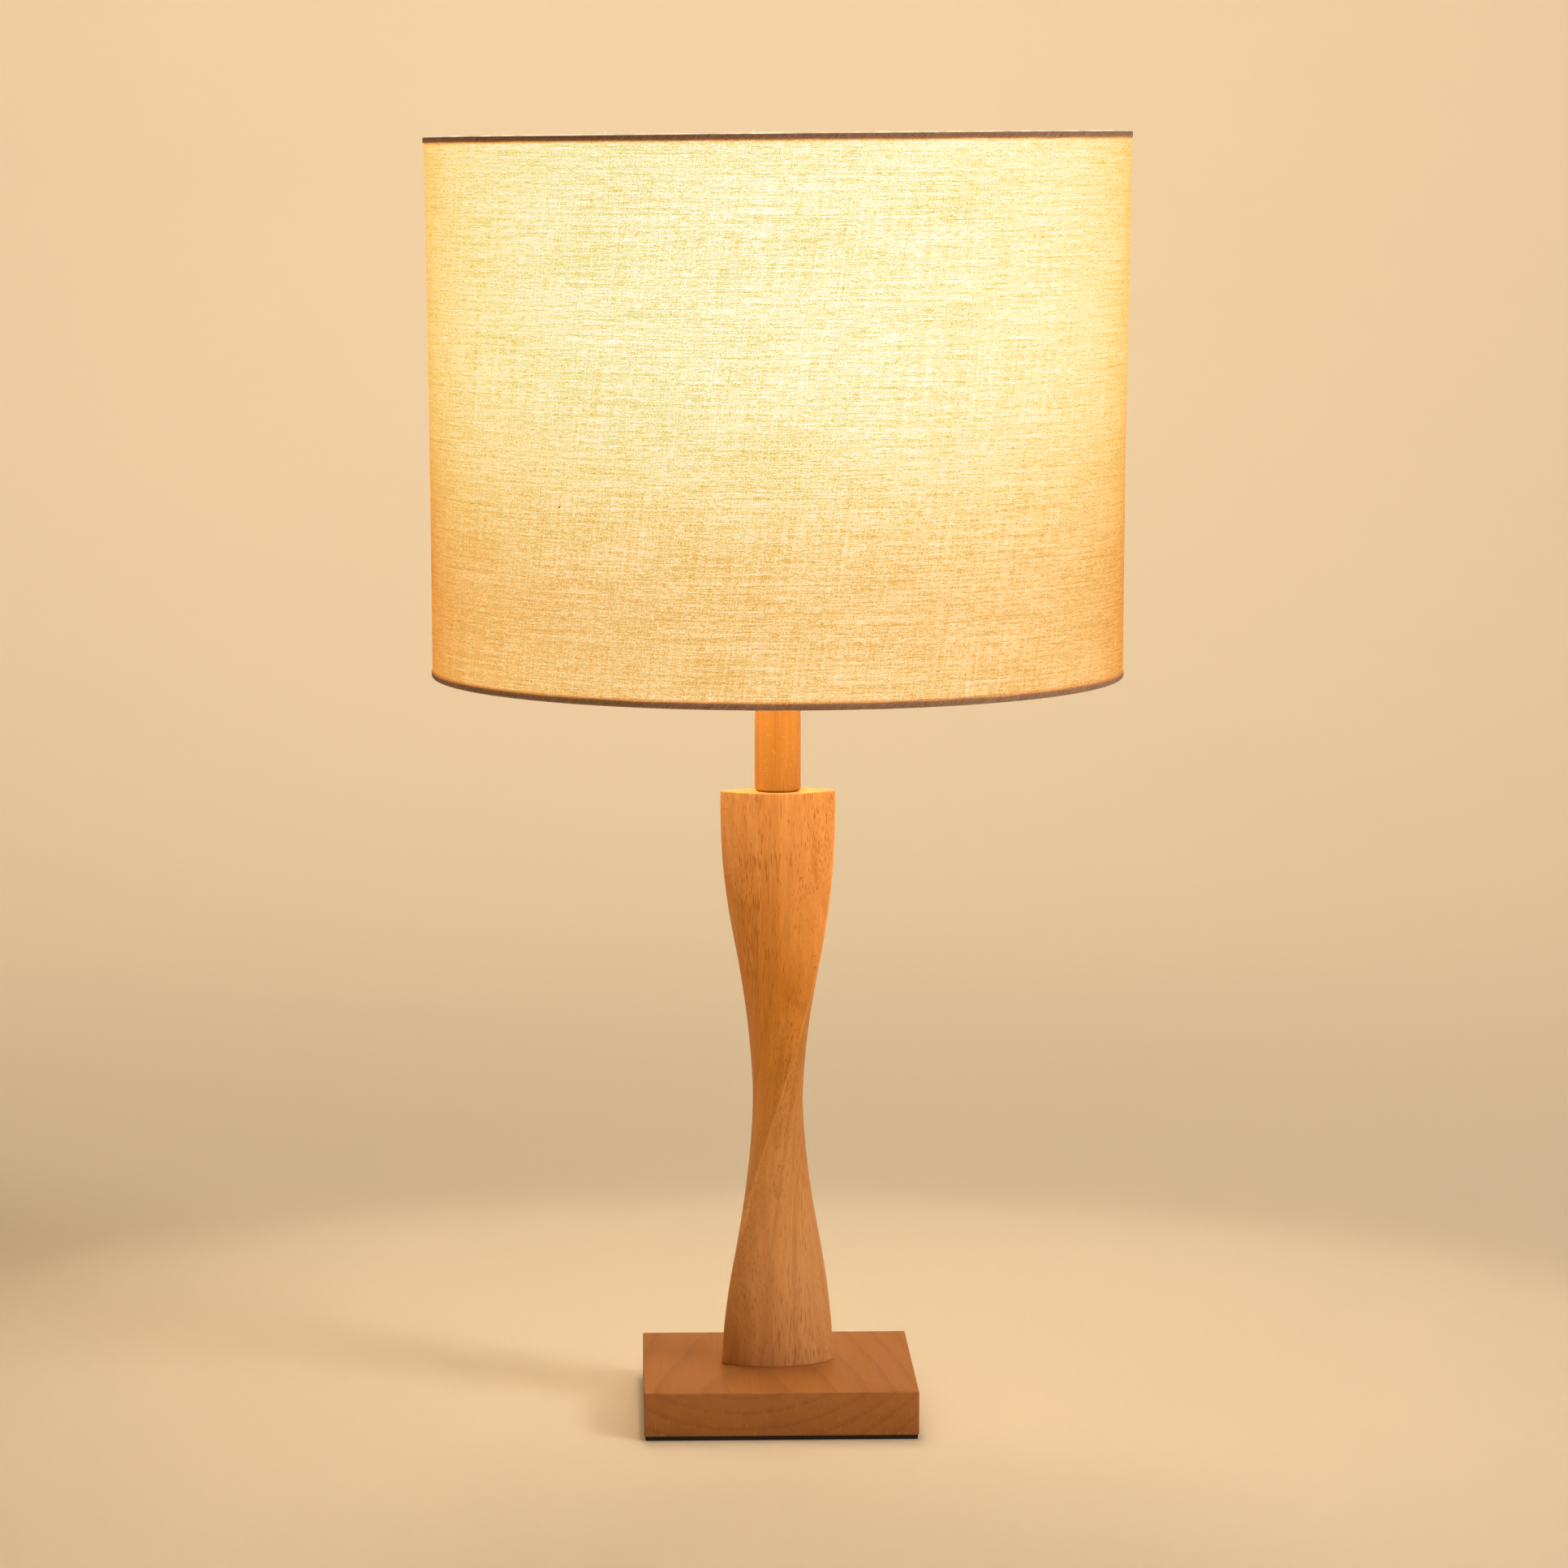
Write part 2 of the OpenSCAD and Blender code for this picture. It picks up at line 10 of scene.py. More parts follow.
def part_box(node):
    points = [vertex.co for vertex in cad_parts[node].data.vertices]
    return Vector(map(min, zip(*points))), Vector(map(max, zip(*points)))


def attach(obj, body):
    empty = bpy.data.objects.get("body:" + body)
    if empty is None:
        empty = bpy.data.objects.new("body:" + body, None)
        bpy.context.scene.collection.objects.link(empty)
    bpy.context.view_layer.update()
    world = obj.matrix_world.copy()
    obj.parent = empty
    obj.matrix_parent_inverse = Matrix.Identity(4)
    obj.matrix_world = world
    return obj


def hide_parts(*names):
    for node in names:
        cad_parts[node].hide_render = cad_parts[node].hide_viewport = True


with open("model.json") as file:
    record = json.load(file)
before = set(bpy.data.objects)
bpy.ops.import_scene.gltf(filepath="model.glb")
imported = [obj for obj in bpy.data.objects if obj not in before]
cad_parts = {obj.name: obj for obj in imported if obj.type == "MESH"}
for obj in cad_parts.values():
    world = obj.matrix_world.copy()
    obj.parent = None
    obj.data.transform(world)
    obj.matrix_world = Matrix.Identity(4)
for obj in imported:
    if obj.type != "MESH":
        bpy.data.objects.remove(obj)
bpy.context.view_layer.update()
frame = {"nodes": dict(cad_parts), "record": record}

MM = 0.001
TAU = 2 * math.pi

# ---- places, from the frame ----

BASE_LOW, BASE_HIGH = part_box("base_block")
PAD_LOW, PAD_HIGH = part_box("foot_pad")
COLUMN_LOW, COLUMN_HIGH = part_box("twisted_column")
DOWEL_LOW, DOWEL_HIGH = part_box("neck_dowel")
SHADE_LOW_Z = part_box("bottom_trim")[0].z
SHADE_HIGH_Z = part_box("top_trim")[1].z
GLOBE_LOW, GLOBE_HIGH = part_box("bulb_globe")
HARP_LOW, HARP_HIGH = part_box("harp_wire")

# ---- driving sizes that the looks share with the CAD part, in metres ----

COLUMN_W = 55 * MM
COLUMN_T = 24 * MM
FLANK_POWER = 2.35
EDGE_POWER = 1.08
TWIST_DEG = 175
TWIST_EASE_DEG = 7
TOP_TURN_DEG = 2.4
SHADE_TOP_R = 333 * MM / 2
SHADE_BOTTOM_R = 328 * MM / 2
FABRIC_T = 0.5 * MM
LINER_T = 0.4 * MM
SEAM_LAP = 12 * MM
TRIM_T = 0.5 * MM
TRIM_H = 3.4 * MM
TOP_TRIM_H = 3.2 * MM
TRIM_INNER_H = 8 * MM
RIM_WIRE_R = 1.4 * MM
HARP_HALF_W = 57 * MM
HARP_LEG_X = 29 * MM
HARP_BEND_R = 40 * MM
HARP_LEAN = math.radians(16)
HARP_R = 2.2 * MM
INLET_Z = 9 * MM
GLAND_R = 4.5 * MM


# ---- mesh helpers ----

# Points nearer than this, in metres, are one point
TOUCHING = 1e-6


def piece_from(name, verts, faces):
    """A mesh object from points and faces, with its normals pointing outwards."""
    mesh = bpy.data.meshes.new(name)
    mesh.from_pydata([tuple(v) for v in verts], [], faces)
    build = bmesh.new()
    build.from_mesh(mesh)
    bmesh.ops.recalc_face_normals(build, faces=build.faces)
    build.to_mesh(mesh)
    build.free()
    for polygon in mesh.polygons:
        polygon.use_smooth = True
    piece = bpy.data.objects.new(name, mesh)
    bpy.context.scene.collection.objects.link(piece)
    return piece


def sharpen(piece, angle_deg):
    """Keeps edges crisp where two faces meet at more than an angle."""
    piece.data.set_sharp_from_angle(angle=math.radians(angle_deg))


def rings_to_faces(ring_count, side_count, close_rings=False):
    """Quads between rings of points, each ring closed on itself."""
    faces = []
    spans = ring_count if close_rings else ring_count - 1
    for i in range(spans):
        low, high = i * side_count, (i + 1) % ring_count * side_count
        for j in range(side_count):
            k = (j + 1) % side_count
            faces.append((low + j, low + k, high + k, high + j))
    return faces


def lathe(name, profile, segments, closed=False, shift=None):
    """Turns a profile of (radius, z) about Z. shift(angle, i) adds to a point's radius and height."""
    verts = []
    for i, (radius, z) in enumerate(profile):
        for j in range(segments):
            angle = TAU * j / segments
            more_r, more_z = shift(angle, i) if shift else (0, 0)
            r = radius + more_r
            verts.append((r * math.sin(angle), -r * math.cos(angle), z + more_z))
    faces = rings_to_faces(len(profile), segments, closed)
    if not closed:
        for i in (0, len(profile) - 1):
            if profile[i][0] > TOUCHING:
                faces.append(tuple(range(i * segments, (i + 1) * segments)))
    piece = piece_from(name, verts, faces)
    if not closed:
        merge_points(piece)
    return piece


def merge_points(piece):
    """Joins points that fall together, such as the middle of a lathe's end."""
    build = bmesh.new()
    build.from_mesh(piece.data)
    bmesh.ops.remove_doubles(build, verts=build.verts, dist=TOUCHING)
    bmesh.ops.recalc_face_normals(build, faces=build.faces)
    build.to_mesh(piece.data)
    build.free()


def arc(centre, radius, from_deg, to_deg, steps):
    """Points of an arc in the (radius, z) plane."""
    points = []
    for i in range(steps + 1):
        a = math.radians(from_deg + (to_deg - from_deg) * i / steps)
        points.append((centre[0] + radius * math.cos(a), centre[1] + radius * math.sin(a)))
    return points


def rounded_block(name, low, high, upright_r, edge_r, steps=4):
    """A block with rounded upright corners and a small round along its top and bottom edges."""
    half_x, half_y = (high.x - low.x) / 2, (high.y - low.y) / 2
    middle = (low + high) / 2
    quarter_turn = [math.pi / 2 * i / steps for i in range(steps + 1)]
    levels = [(edge_r - edge_r * math.sin(a), low.z + edge_r - edge_r * math.cos(a)) for a in quarter_turn]
    levels += [(edge_r - edge_r * math.cos(a), high.z - edge_r + edge_r * math.sin(a)) for a in quarter_turn]
    verts = []
    for inset, z in levels:
        corner_r = upright_r - inset
        for quarter, (sx, sy) in enumerate([(1, -1), (1, 1), (-1, 1), (-1, -1)]):
            corner_x = middle.x + sx * (half_x - upright_r)
            corner_y = middle.y + sy * (half_y - upright_r)
            for i in range(steps + 1):
                a = math.pi / 2 * (quarter - 1 + i / steps)
                verts.append((corner_x + corner_r * math.cos(a), corner_y + corner_r * math.sin(a), z))
    side_count = 4 * (steps + 1)
    faces = rings_to_faces(len(levels), side_count)
    faces.append(tuple(range(side_count)))
    faces.append(tuple(range((len(levels) - 1) * side_count, len(levels) * side_count)))
    return piece_from(name, verts, faces)


def cut(piece, tool):
    """Takes the tool's shape out of the piece and removes the tool."""
    step = piece.modifiers.new("cut", "BOOLEAN")
    step.operation = "DIFFERENCE"
    step.solver = "EXACT"
    step.object = tool
    shaped = bpy.data.meshes.new_from_object(piece.evaluated_get(bpy.context.evaluated_depsgraph_get()))
    piece.modifiers.clear()
    piece.data = shaped
    bpy.data.objects.remove(tool)


# ---- material helpers ----

class Graph:
    """A material's node tree, with short calls for the nodes that repeat."""

    def __init__(self, name):
        self.material = bpy.data.materials.new(name)
        self.material.use_nodes = True
        self.tree = self.material.node_tree
        self.tree.nodes.clear()
        self.out = self.tree.nodes.new("ShaderNodeOutputMaterial")
        self.place = self.tree.nodes.new("ShaderNodeTexCoord").outputs["Object"]

    def link(self, value, socket):
        if isinstance(value, bpy.types.NodeSocket):
            self.tree.links.new(value, socket)
        else:
            socket.default_value = value

    def add(self, kind, inputs=None, **settings):
        node = self.tree.nodes.new(kind)
        for key, value in settings.items():
            setattr(node, key, value)
        for key, value in (inputs or {}).items():
            self.link(value, node.inputs[key])
        return node

    def math(self, operation, a, b=0.0, c=0.0):
        node = self.add("ShaderNodeMath", {0: a, 1: b, 2: c}, operation=operation)
        return node.outputs[0]

    def vector(self, operation, a, b=(0, 0, 0)):
        node = self.add("ShaderNodeVectorMath", {0: a, 1: b}, operation=operation)
        return node.outputs["Value" if operation in ("LENGTH", "DOT_PRODUCT") else "Vector"]

    def parts(self, vector):
        return self.add("ShaderNodeSeparateXYZ", {0: vector}).outputs

    def joined(self, x, y, z):
        return self.add("ShaderNodeCombineXYZ", {0: x, 1: y, 2: z}).outputs[0]

    def stretched(self, vector, scale):
        return self.vector("MULTIPLY", vector, scale)

    def noise(self, vector, scale=1.0, detail=2.0, rough=0.5):
        inputs = {"Vector": vector, "Scale": scale, "Detail": detail, "Roughness": rough}
        return self.add("ShaderNodeTexNoise", inputs).outputs["Fac"]

    def spots(self, vector, scale):
        return self.add("ShaderNodeTexVoronoi", {"Vector": vector, "Scale": scale}).outputs

    def stored(self, name):
        """A value that the mesh carries at its points."""
        return self.add("ShaderNodeAttribute", attribute_name=name).outputs["Fac"]

    def span(self, value, low, high, to_low=0.0, to_high=1.0, smooth=False):
        inputs = {"Value": value, "From Min": low, "From Max": high, "To Min": to_low, "To Max": to_high}
        kind = "SMOOTHSTEP" if smooth else "LINEAR"
        return self.add("ShaderNodeMapRange", inputs, interpolation_type=kind).outputs["Result"]

    def ramp(self, value, stops):
        node = self.add("ShaderNodeValToRGB", {0: value})
        points = node.color_ramp.elements
        while len(points) < len(stops):
            points.new(0.5)
        for point, (at, colour) in zip(points, stops):
            point.position = at
            point.color = (*colour, 1)
        return node.outputs[0]

    def mix(self, share, a, b, blend="MIX"):
        node = self.add("ShaderNodeMix", data_type="RGBA", blend_type=blend, clamp_factor=True)
        for socket, value in ((node.inputs[0], share), (node.inputs[6], a), (node.inputs[7], b)):
            if isinstance(value, tuple) and len(value) == 3:
                value = (*value, 1)
            self.link(value, socket)
        return node.outputs[2]

    def bump(self, height, distance, strength=1.0):
        inputs = {"Height": height, "Distance": distance, "Strength": strength}
        return self.add("ShaderNodeBump", inputs).outputs[0]

    def principled(self, **inputs):
        named = {key.replace("_", " "): value for key, value in inputs.items()}
        for key, value in named.items():
            if isinstance(value, tuple) and len(value) == 3 and key != "Normal":
                named[key] = (*value, 1)
        node = self.add("ShaderNodeBsdfPrincipled", named)
        self.link(node.outputs[0], self.out.inputs["Surface"])
        return node


def wear(piece, material):
    """Gives a piece one material in place of those it has."""
    piece.data.materials.clear()
    piece.data.materials.append(material)


# ---- wood ----

def wood_material(name, grain, rings, dark, light, figure, pores, gloss, fleck=0.0, edge=None,
                  painted_light_ends=None):
    """Lacquered rubberwood. grain(x, y, z) puts the grain along the third value. rings says where
    the heart of the tree lies across the grain, how wide a ring is and how far the heart drifts.
    figure is the contrast of fibres, streaks, bands and rings, pores the number and depth of the pores.
    gloss is how much the lacquer shines, fleck how strongly rays show. edge names the value that marks
    edges lightened partly by wear and partly as a painted highlight. The last argument gives the lengths
    over which the column is painted paler at its lower and upper end, as painted light."""
    g = Graph(name)
    x, y, z = g.parts(g.place)
    across_a, across_b, along = grain(x, y, z)
    heart_a, heart_b, width, drift = rings
    p = g.joined(across_a, across_b, along)

    # Growth rings: distance from the heart, bent by slow noise and by the tree's taper
    sway = g.noise(g.stretched(p, (9, 9, 4)), detail=2)
    sway = g.math("MULTIPLY", g.math("SUBTRACT", sway, 0.5), 14 * MM)
    from_heart = g.vector("LENGTH", g.joined(
        g.math("SUBTRACT", across_a, heart_a), g.math("SUBTRACT", across_b, heart_b), 0.0))
    from_heart = g.math("ADD", from_heart, g.math("ADD", sway, g.math("MULTIPLY", along, drift)))
    ring = g.math("FRACT", g.math("DIVIDE", from_heart, width))
    late_wood = g.span(ring, 0.55, 0.97, smooth=True)
    late_wood = g.math("MULTIPLY", late_wood, g.span(ring, 1.0, 0.97))

    # Fibres: long fine streaks, and broader bands of tone
    fibre = g.noise(g.stretched(p, (1500, 1500, 28)), detail=3, rough=0.6)
    streak = g.noise(g.stretched(p, (230, 230, 6)), detail=3, rough=0.55)
    band = g.noise(g.stretched(p, (38, 38, 2.2)), detail=2)
    fibre_weight, streak_weight, band_weight, ring_weight = figure
    tone = 0.52
    for part, weight in ((fibre, fibre_weight), (streak, streak_weight), (band, band_weight)):
        tone = g.math("MULTIPLY_ADD", g.math("SUBTRACT", part, 0.5), weight, tone)
    tone = g.math("MULTIPLY_ADD", late_wood, -ring_weight, tone)
    middle = tuple((a + b) / 2 for a, b in zip(dark, light))
    colour = g.ramp(tone, [(0.12, dark), (0.5, middle), (0.9, light)])

    # Pores: short dark dashes along the grain, thicker in some bands than in others
    pore_count, pore_depth = pores
    dash = g.noise(g.stretched(p, (2100, 2100, 95)), detail=1.5, rough=0.45)
    crowd = g.noise(g.stretched(p, (48, 48, 8)), detail=2)
    edge_at = g.math("MULTIPLY_ADD", crowd, -0.42, 0.90 - pore_count)
    pore = g.span(g.math("SUBTRACT", dash, edge_at), 0.0, 0.05, smooth=True)
    pore_colour = (0.62 * dark[0], 0.36 * dark[1], 0.50 * dark[2])
    colour = g.mix(g.math("MULTIPLY", pore, pore_depth), colour, pore_colour)

    # Painted light: the column is painted paler, in patches, towards both ends, where more light falls on
    # it; the figure is fainter at its foot
    if painted_light_ends:
        low_length, high_length = painted_light_ends
        low_end = g.span(along, COLUMN_LOW.z + low_length, COLUMN_LOW.z + 0.2 * low_length, smooth=True)
        high_end = g.span(along, COLUMN_HIGH.z - high_length, COLUMN_HIGH.z, 0.0, 0.6, smooth=True)
        blotch = g.span(g.noise(g.stretched(p, (30, 30, 14)), detail=3), 0.3, 0.7, 0.6, 1.0)
        painted_paleness = g.math("MULTIPLY", g.math("ADD", low_end, high_end), blotch)
        veiled = g.mix(g.math("MULTIPLY", low_end, 0.4), colour, middle)
        colour = g.mix(painted_paleness, colour, g.mix(1.0, veiled, (1.20, 1.54, 3.1), "MULTIPLY"))

    # Rays that cross the grain show as small pale flecks
    if fleck:
        ray = g.noise(g.stretched(p, (900, 260, 900)), detail=1)
        ray = g.span(ray, 0.66, 0.74, smooth=True)
        colour = g.mix(g.math("MULTIPLY", ray, fleck), colour, tuple(min(1, c * 1.35) for c in light))

    # Lighter along the crisp edges, partly where sanding thinned the stain and partly as a painted highlight
    if edge:
        rubbed_and_highlit = g.stored(edge)
        patchy = g.noise(g.stretched(p, (150, 150, 30)), detail=2)
        rubbed_and_highlit = g.math("MULTIPLY", rubbed_and_highlit, g.span(patchy, 0.3, 0.6, 0.2, 0.5))
        colour = g.mix(rubbed_and_highlit, colour, tuple(min(1, c * 1.15 + 0.04) for c in light))

    height = g.math("MULTIPLY_ADD", pore, -0.4, g.math("MULTIPLY", fibre, 0.35))
    rough = g.span(streak, 0.3, 0.7, 0.46, 0.56)
    g.principled(Base_Color=colour, Roughness=rough, Normal=g.bump(height, 0.06 * MM, 0.6),
                 Coat_Weight=0.3 * gloss, Coat_Roughness=0.25, Specular_IOR_Level=gloss)
    return g.material


def upright_grain(x, y, z):
    return x, y, z


def front_to_back_grain(x, y, z):
    return x, z, y


# ---- linen ----

def around_and_up(g):
    """Metres round the shade from its front, with the jump at the seam behind, and metres up it."""
    x, y, z = g.parts(g.place)
    angle = g.math("ARCTAN2", x, g.math("MULTIPLY", y, -1.0))
    return g.math("MULTIPLY", angle, (SHADE_TOP_R + SHADE_BOTTOM_R) / 2), z


def linen_weave(g, u, v, pitch):
    """How much light a plain weave of uneven yarn lets through, about 0 with its own spread, and its
    height. The weft runs along u, the warp along v."""
    flat = g.joined(u, v, 0.0)
    wander = g.math("SUBTRACT", g.noise(g.stretched(flat, (60, 60, 1)), detail=2), 0.5)
    warp_at = g.math("MULTIPLY_ADD", wander, 1.6 * MM, u)
    weft_at = g.math("MULTIPLY_ADD", wander, 1.2 * MM, v)
    warp = g.math("SINE", g.math("MULTIPLY", warp_at, TAU / pitch))
    weft = g.math("SINE", g.math("MULTIPLY", weft_at, TAU / pitch))
    # Pinholes between the threads, each with its own size
    cell = g.joined(g.math("FLOOR", g.math("DIVIDE", warp_at, pitch / 2)),
                    g.math("FLOOR", g.math("DIVIDE", weft_at, pitch / 2)), 0.0)
    pinhole = g.add("ShaderNodeTexWhiteNoise", {"Vector": cell}, noise_dimensions="2D").outputs["Value"]
    # Each yarn has its own thickness, and a slub swells it for a few centimetres
    long_slub = g.noise(g.stretched(flat, (14, 900, 1)), detail=1.5, rough=0.5)
    slub = g.noise(g.stretched(flat, (60, 1400, 1)), detail=2.5, rough=0.6)
    thin_slub = g.noise(g.stretched(flat, (240, 2200, 1)), detail=1.5)
    upright = g.noise(g.stretched(flat, (1100, 15, 1)), detail=2.0, rough=0.5)
    cloud = g.noise(g.stretched(flat, (30, 42, 1)), detail=3)
    fuzz = g.noise(g.stretched(flat, (1300, 1300, 1)), detail=2)
    light = 0.0
    for yarn, weight in ((long_slub, 0.38), (slub, 0.50), (thin_slub, 0.58), (upright, 0.26),
                         (cloud, 0.12), (fuzz, 0.60), (pinhole, 0.26)):
        light = g.math("MULTIPLY_ADD", g.math("SUBTRACT", yarn, 0.5), weight, light)
    light = g.math("MULTIPLY_ADD", g.math("ADD", warp, weft), 0.03, light)
    height = g.math("MULTIPLY_ADD", g.math("MULTIPLY", warp, weft), 0.5, g.math("MULTIPLY", fuzz, 0.8))
    height = g.math("MULTIPLY_ADD", slub, 1.2, height)
    return light, height


def lit_linen():
    """Natural linen over a liner, lit from inside: the glow sits under a tinted layer, so that it
    deepens to orange where the cloth is seen edge on."""
    g = Graph("lit_linen")
    u, v = around_and_up(g)
    lean = g.math("MULTIPLY", g.math("SUBTRACT", v, SHADE_LOW_Z), -math.tan(math.radians(8)))
    light, height = linen_weave(g, g.math("ADD", u, lean), v, 0.74 * MM)

    # Neps: a few dark specks of husk spun into the yarn
    cells = g.spots(g.joined(u, v, 0.0), 46)
    chosen = g.math("GREATER_THAN", g.parts(cells["Color"])[0], 0.86)
    speck = g.math("MULTIPLY", chosen, g.span(cells["Distance"], 0.030, 0.016, smooth=True))

    # Height on the cloth as it was before its top edge was cut a little aslant
    slant = g.math("MULTIPLY_ADD", g.math("SINE", g.math("DIVIDE", u, SHADE_TOP_R)), 1.5 * MM, 1.2 * MM)
    share = g.math("POWER", g.span(v, SHADE_LOW_Z, SHADE_HIGH_Z), 6.0)
    cut_v = g.math("SUBTRACT", v, g.math("MULTIPLY", slant, share))

    # Bright beside and above the bulb, dimmer below it, and shaded by the trims at both rims
    beside_bulb = g.span(v, GLOBE_LOW.z - 90 * MM, GLOBE_HIGH.z, 0.56, 1.0, smooth=True)
    low_edge, high_edge = SHADE_LOW_Z + TRIM_H, SHADE_HIGH_Z - TOP_TRIM_H
    by_trim = g.math("MULTIPLY", g.span(cut_v, low_edge - 0.1 * MM, low_edge + 1.3 * MM, smooth=True),
                     g.span(cut_v, high_edge + 0.1 * MM, high_edge - 1.3 * MM, smooth=True))
    level = g.math("MULTIPLY", beside_bulb, g.math("MULTIPLY_ADD", light, 1.5, 1.0))
    level = g.math("MULTIPLY", level, g.span(by_trim, 0, 1, 0.35, 1.0))
    glow = g.ramp(g.math("MULTIPLY", level, 0.625), [
        (0.0, (0.32, 0.10, 0.02)), (0.22, (0.72, 0.35, 0.10)), (0.35, (0.75, 0.50, 0.196)),
        (0.3775, (0.765, 0.58, 0.23)), (0.48, (0.79, 0.695, 0.32)), (0.6175, (0.80, 0.795, 0.465)),
        (0.80, (0.84, 0.925, 0.62)), (1.0, (0.90, 1.0, 0.74))])
    # The tinted layer takes its share even seen square on, so the glow under it is that much stronger
    veil = g.mix(beside_bulb, (0.90, 0.72, 0.54), (1.0, 0.88, 0.69))
    glow = g.mix(1.0, glow, veil, "DIVIDE")
    # Where the cloth is thin more of the blue gets through, and where it is thick less
    glow = g.vector("MULTIPLY", glow, g.joined(
        g.math("MULTIPLY_ADD", light, 0.55, 1.07), g.math("MULTIPLY_ADD", light, 0.20, 1.04),
        g.math("MULTIPLY_ADD", light, 2.1, 1.03)))
    # The glow is a little redder on the left
    leftness = g.math("SINE", g.math("DIVIDE", u, -SHADE_TOP_R))
    glow = g.vector("MULTIPLY", glow, g.joined(
        g.math("MULTIPLY_ADD", leftness, 0.045, 1.0), g.math("MULTIPLY_ADD", leftness, 0.02, 1.0),
        g.math("MULTIPLY_ADD", leftness, -0.04, 1.0)))
    glow = g.mix(speck, glow, (0.12, 0.045, 0.01))
    cloth = g.ramp(g.math("ADD", light, 0.3), [(0.12, (0.26, 0.19, 0.11)), (0.48, (0.45, 0.38, 0.28))])
    g.principled(Base_Color=cloth, Roughness=0.9, Specular_IOR_Level=0.15,
                 Emission_Color=glow, Emission_Strength=0.96, Sheen_Weight=0.08, Sheen_Roughness=0.4,
                 Coat_Weight=1.0, Coat_Roughness=0.8, Coat_IOR=1.03, Coat_Tint=veil,
                 Normal=g.bump(height, 0.12 * MM, 0.7))
    return g.material


def trim_linen():
    """The same linen folded double over the rim wires, too thick to glow but at its two edges."""
    g = Graph("trim_linen")
    u, v = around_and_up(g)
    light, height = linen_weave(g, g.math("ADD", u, v), g.math("SUBTRACT", v, u), 0.7 * MM)
    cloth = g.ramp(g.math("ADD", light, 0.5), [(0.2, (0.25, 0.135, 0.088)), (0.5, (0.45, 0.265, 0.18)),
                                               (0.8, (0.68, 0.44, 0.31))])
    # Light creeps under the glued edge, and along the fold where the cloth does not quite close
    glued = g.stored("glued")
    fold = g.stored("fold")
    leak = g.span(g.noise(g.stretched(g.joined(u, v, 0.0), (120, 120, 1)), detail=3), 0.35, 0.65, 0.5, 1.0)
    creep = g.mix(g.math("POWER", glued, 2.0), (0.0, 0.0, 0.0), (0.50, 0.18, 0.034))
    creep = g.mix(g.math("MULTIPLY", fold, leak), creep, (1.0, 0.86, 0.60))
    g.principled(Base_Color=cloth, Roughness=0.88, Specular_IOR_Level=0.2, Sheen_Weight=0.25,
                 Sheen_Roughness=0.4, Emission_Color=creep, Emission_Strength=1.15,
                 Normal=g.bump(height, 0.15 * MM, 0.8))
    return g.material


def liner_sheet():
    """Stiff translucent sheet, washed by the bulb on its inside."""
    g = Graph("liner_sheet")
    u, v = around_and_up(g)
    along = g.span(v, SHADE_LOW_Z, SHADE_HIGH_Z)
    wash = g.ramp(along, [(0.0, (0.55, 0.36, 0.18)), (0.3, (0.85, 0.62, 0.36)), (0.6, (1.0, 0.86, 0.6)),
                          (1.0, (0.9, 0.72, 0.45))])
    fine = g.noise(g.stretched(g.joined(u, v, 0.0), (300, 300, 1)), detail=3)
    colour = g.mix(fine, (0.86, 0.80, 0.68), (0.92, 0.88, 0.78))
    g.principled(Base_Color=colour, Roughness=g.span(fine, 0.3, 0.7, 0.42, 0.55), Emission_Color=wash,
                 Emission_Strength=1.0, Normal=g.bump(fine, 0.03 * MM, 0.5))
    return g.material


# ---- metals, plastics and rubber ----

def metal(name, colour, tarnish, rough, scratch=(500, 500, 30), metallic=1.0, coat=0.0):
    """Plated or rolled metal with drawn streaks and faint cloudy tarnish."""
    g = Graph(name)
    streak = g.noise(g.stretched(g.place, scratch), detail=3, rough=0.6)
    cloud = g.noise(g.place, scale=90, detail=3)
    shade = g.mix(g.span(cloud, 0.35, 0.75), colour, tarnish)
    value = g.math("ADD", g.span(streak, 0.3, 0.7, rough * 0.8, rough * 1.25),
                   g.span(cloud, 0.4, 0.8, 0.0, 0.08))
    g.principled(Base_Color=shade, Metallic=metallic, Roughness=value, Coat_Weight=coat,
                 Normal=g.bump(streak, 0.01 * MM, 0.4))
    return g.material


def plastic(name, colour, rough, grain_scale=1400, depth=0.02 * MM):
    """Moulded plastic or rubber with a fine spark-eroded grain."""
    g = Graph(name)
    grain = g.noise(g.place, scale=grain_scale, detail=2)
    cloud = g.noise(g.place, scale=120, detail=2)
    shade = g.mix(g.span(cloud, 0.3, 0.7), colour, tuple(c * 1.07 + 0.002 for c in colour))
    g.principled(Base_Color=shade, Roughness=g.span(grain, 0.3, 0.7, rough * 0.88, rough * 1.1),
                 Normal=g.bump(grain, depth, 0.6))
    return g.material


def card(name):
    """Pressed fibre card with loose fibres in it."""
    g = Graph(name)
    fibre = g.noise(g.stretched(g.place, (900, 900, 260)), detail=4, rough=0.7)
    shade = g.ramp(fibre, [(0.3, (0.40, 0.29, 0.17)), (0.7, (0.66, 0.53, 0.36))])
    g.principled(Base_Color=shade, Roughness=0.85, Normal=g.bump(fibre, 0.04 * MM, 0.7))
    return g.material


def frosted_globe():
    """Lit frosted diffuser, a little dimmer round the collar."""
    g = Graph("frosted_globe")
    up = g.span(g.parts(g.place)[2], GLOBE_LOW.z, GLOBE_HIGH.z)
    frost = g.noise(g.place, scale=700, detail=2)
    glow = g.ramp(up, [(0.0, (1.0, 0.66, 0.34)), (0.25, (1.0, 0.80, 0.52)), (0.8, (1.0, 0.84, 0.58))])
    g.principled(Base_Color=g.mix(frost, (0.93, 0.90, 0.84), (0.97, 0.95, 0.90)), Roughness=0.4,
                 Emission_Color=glow, Emission_Strength=210.0, Normal=g.bump(frost, 0.02 * MM, 0.4))
    return g.material


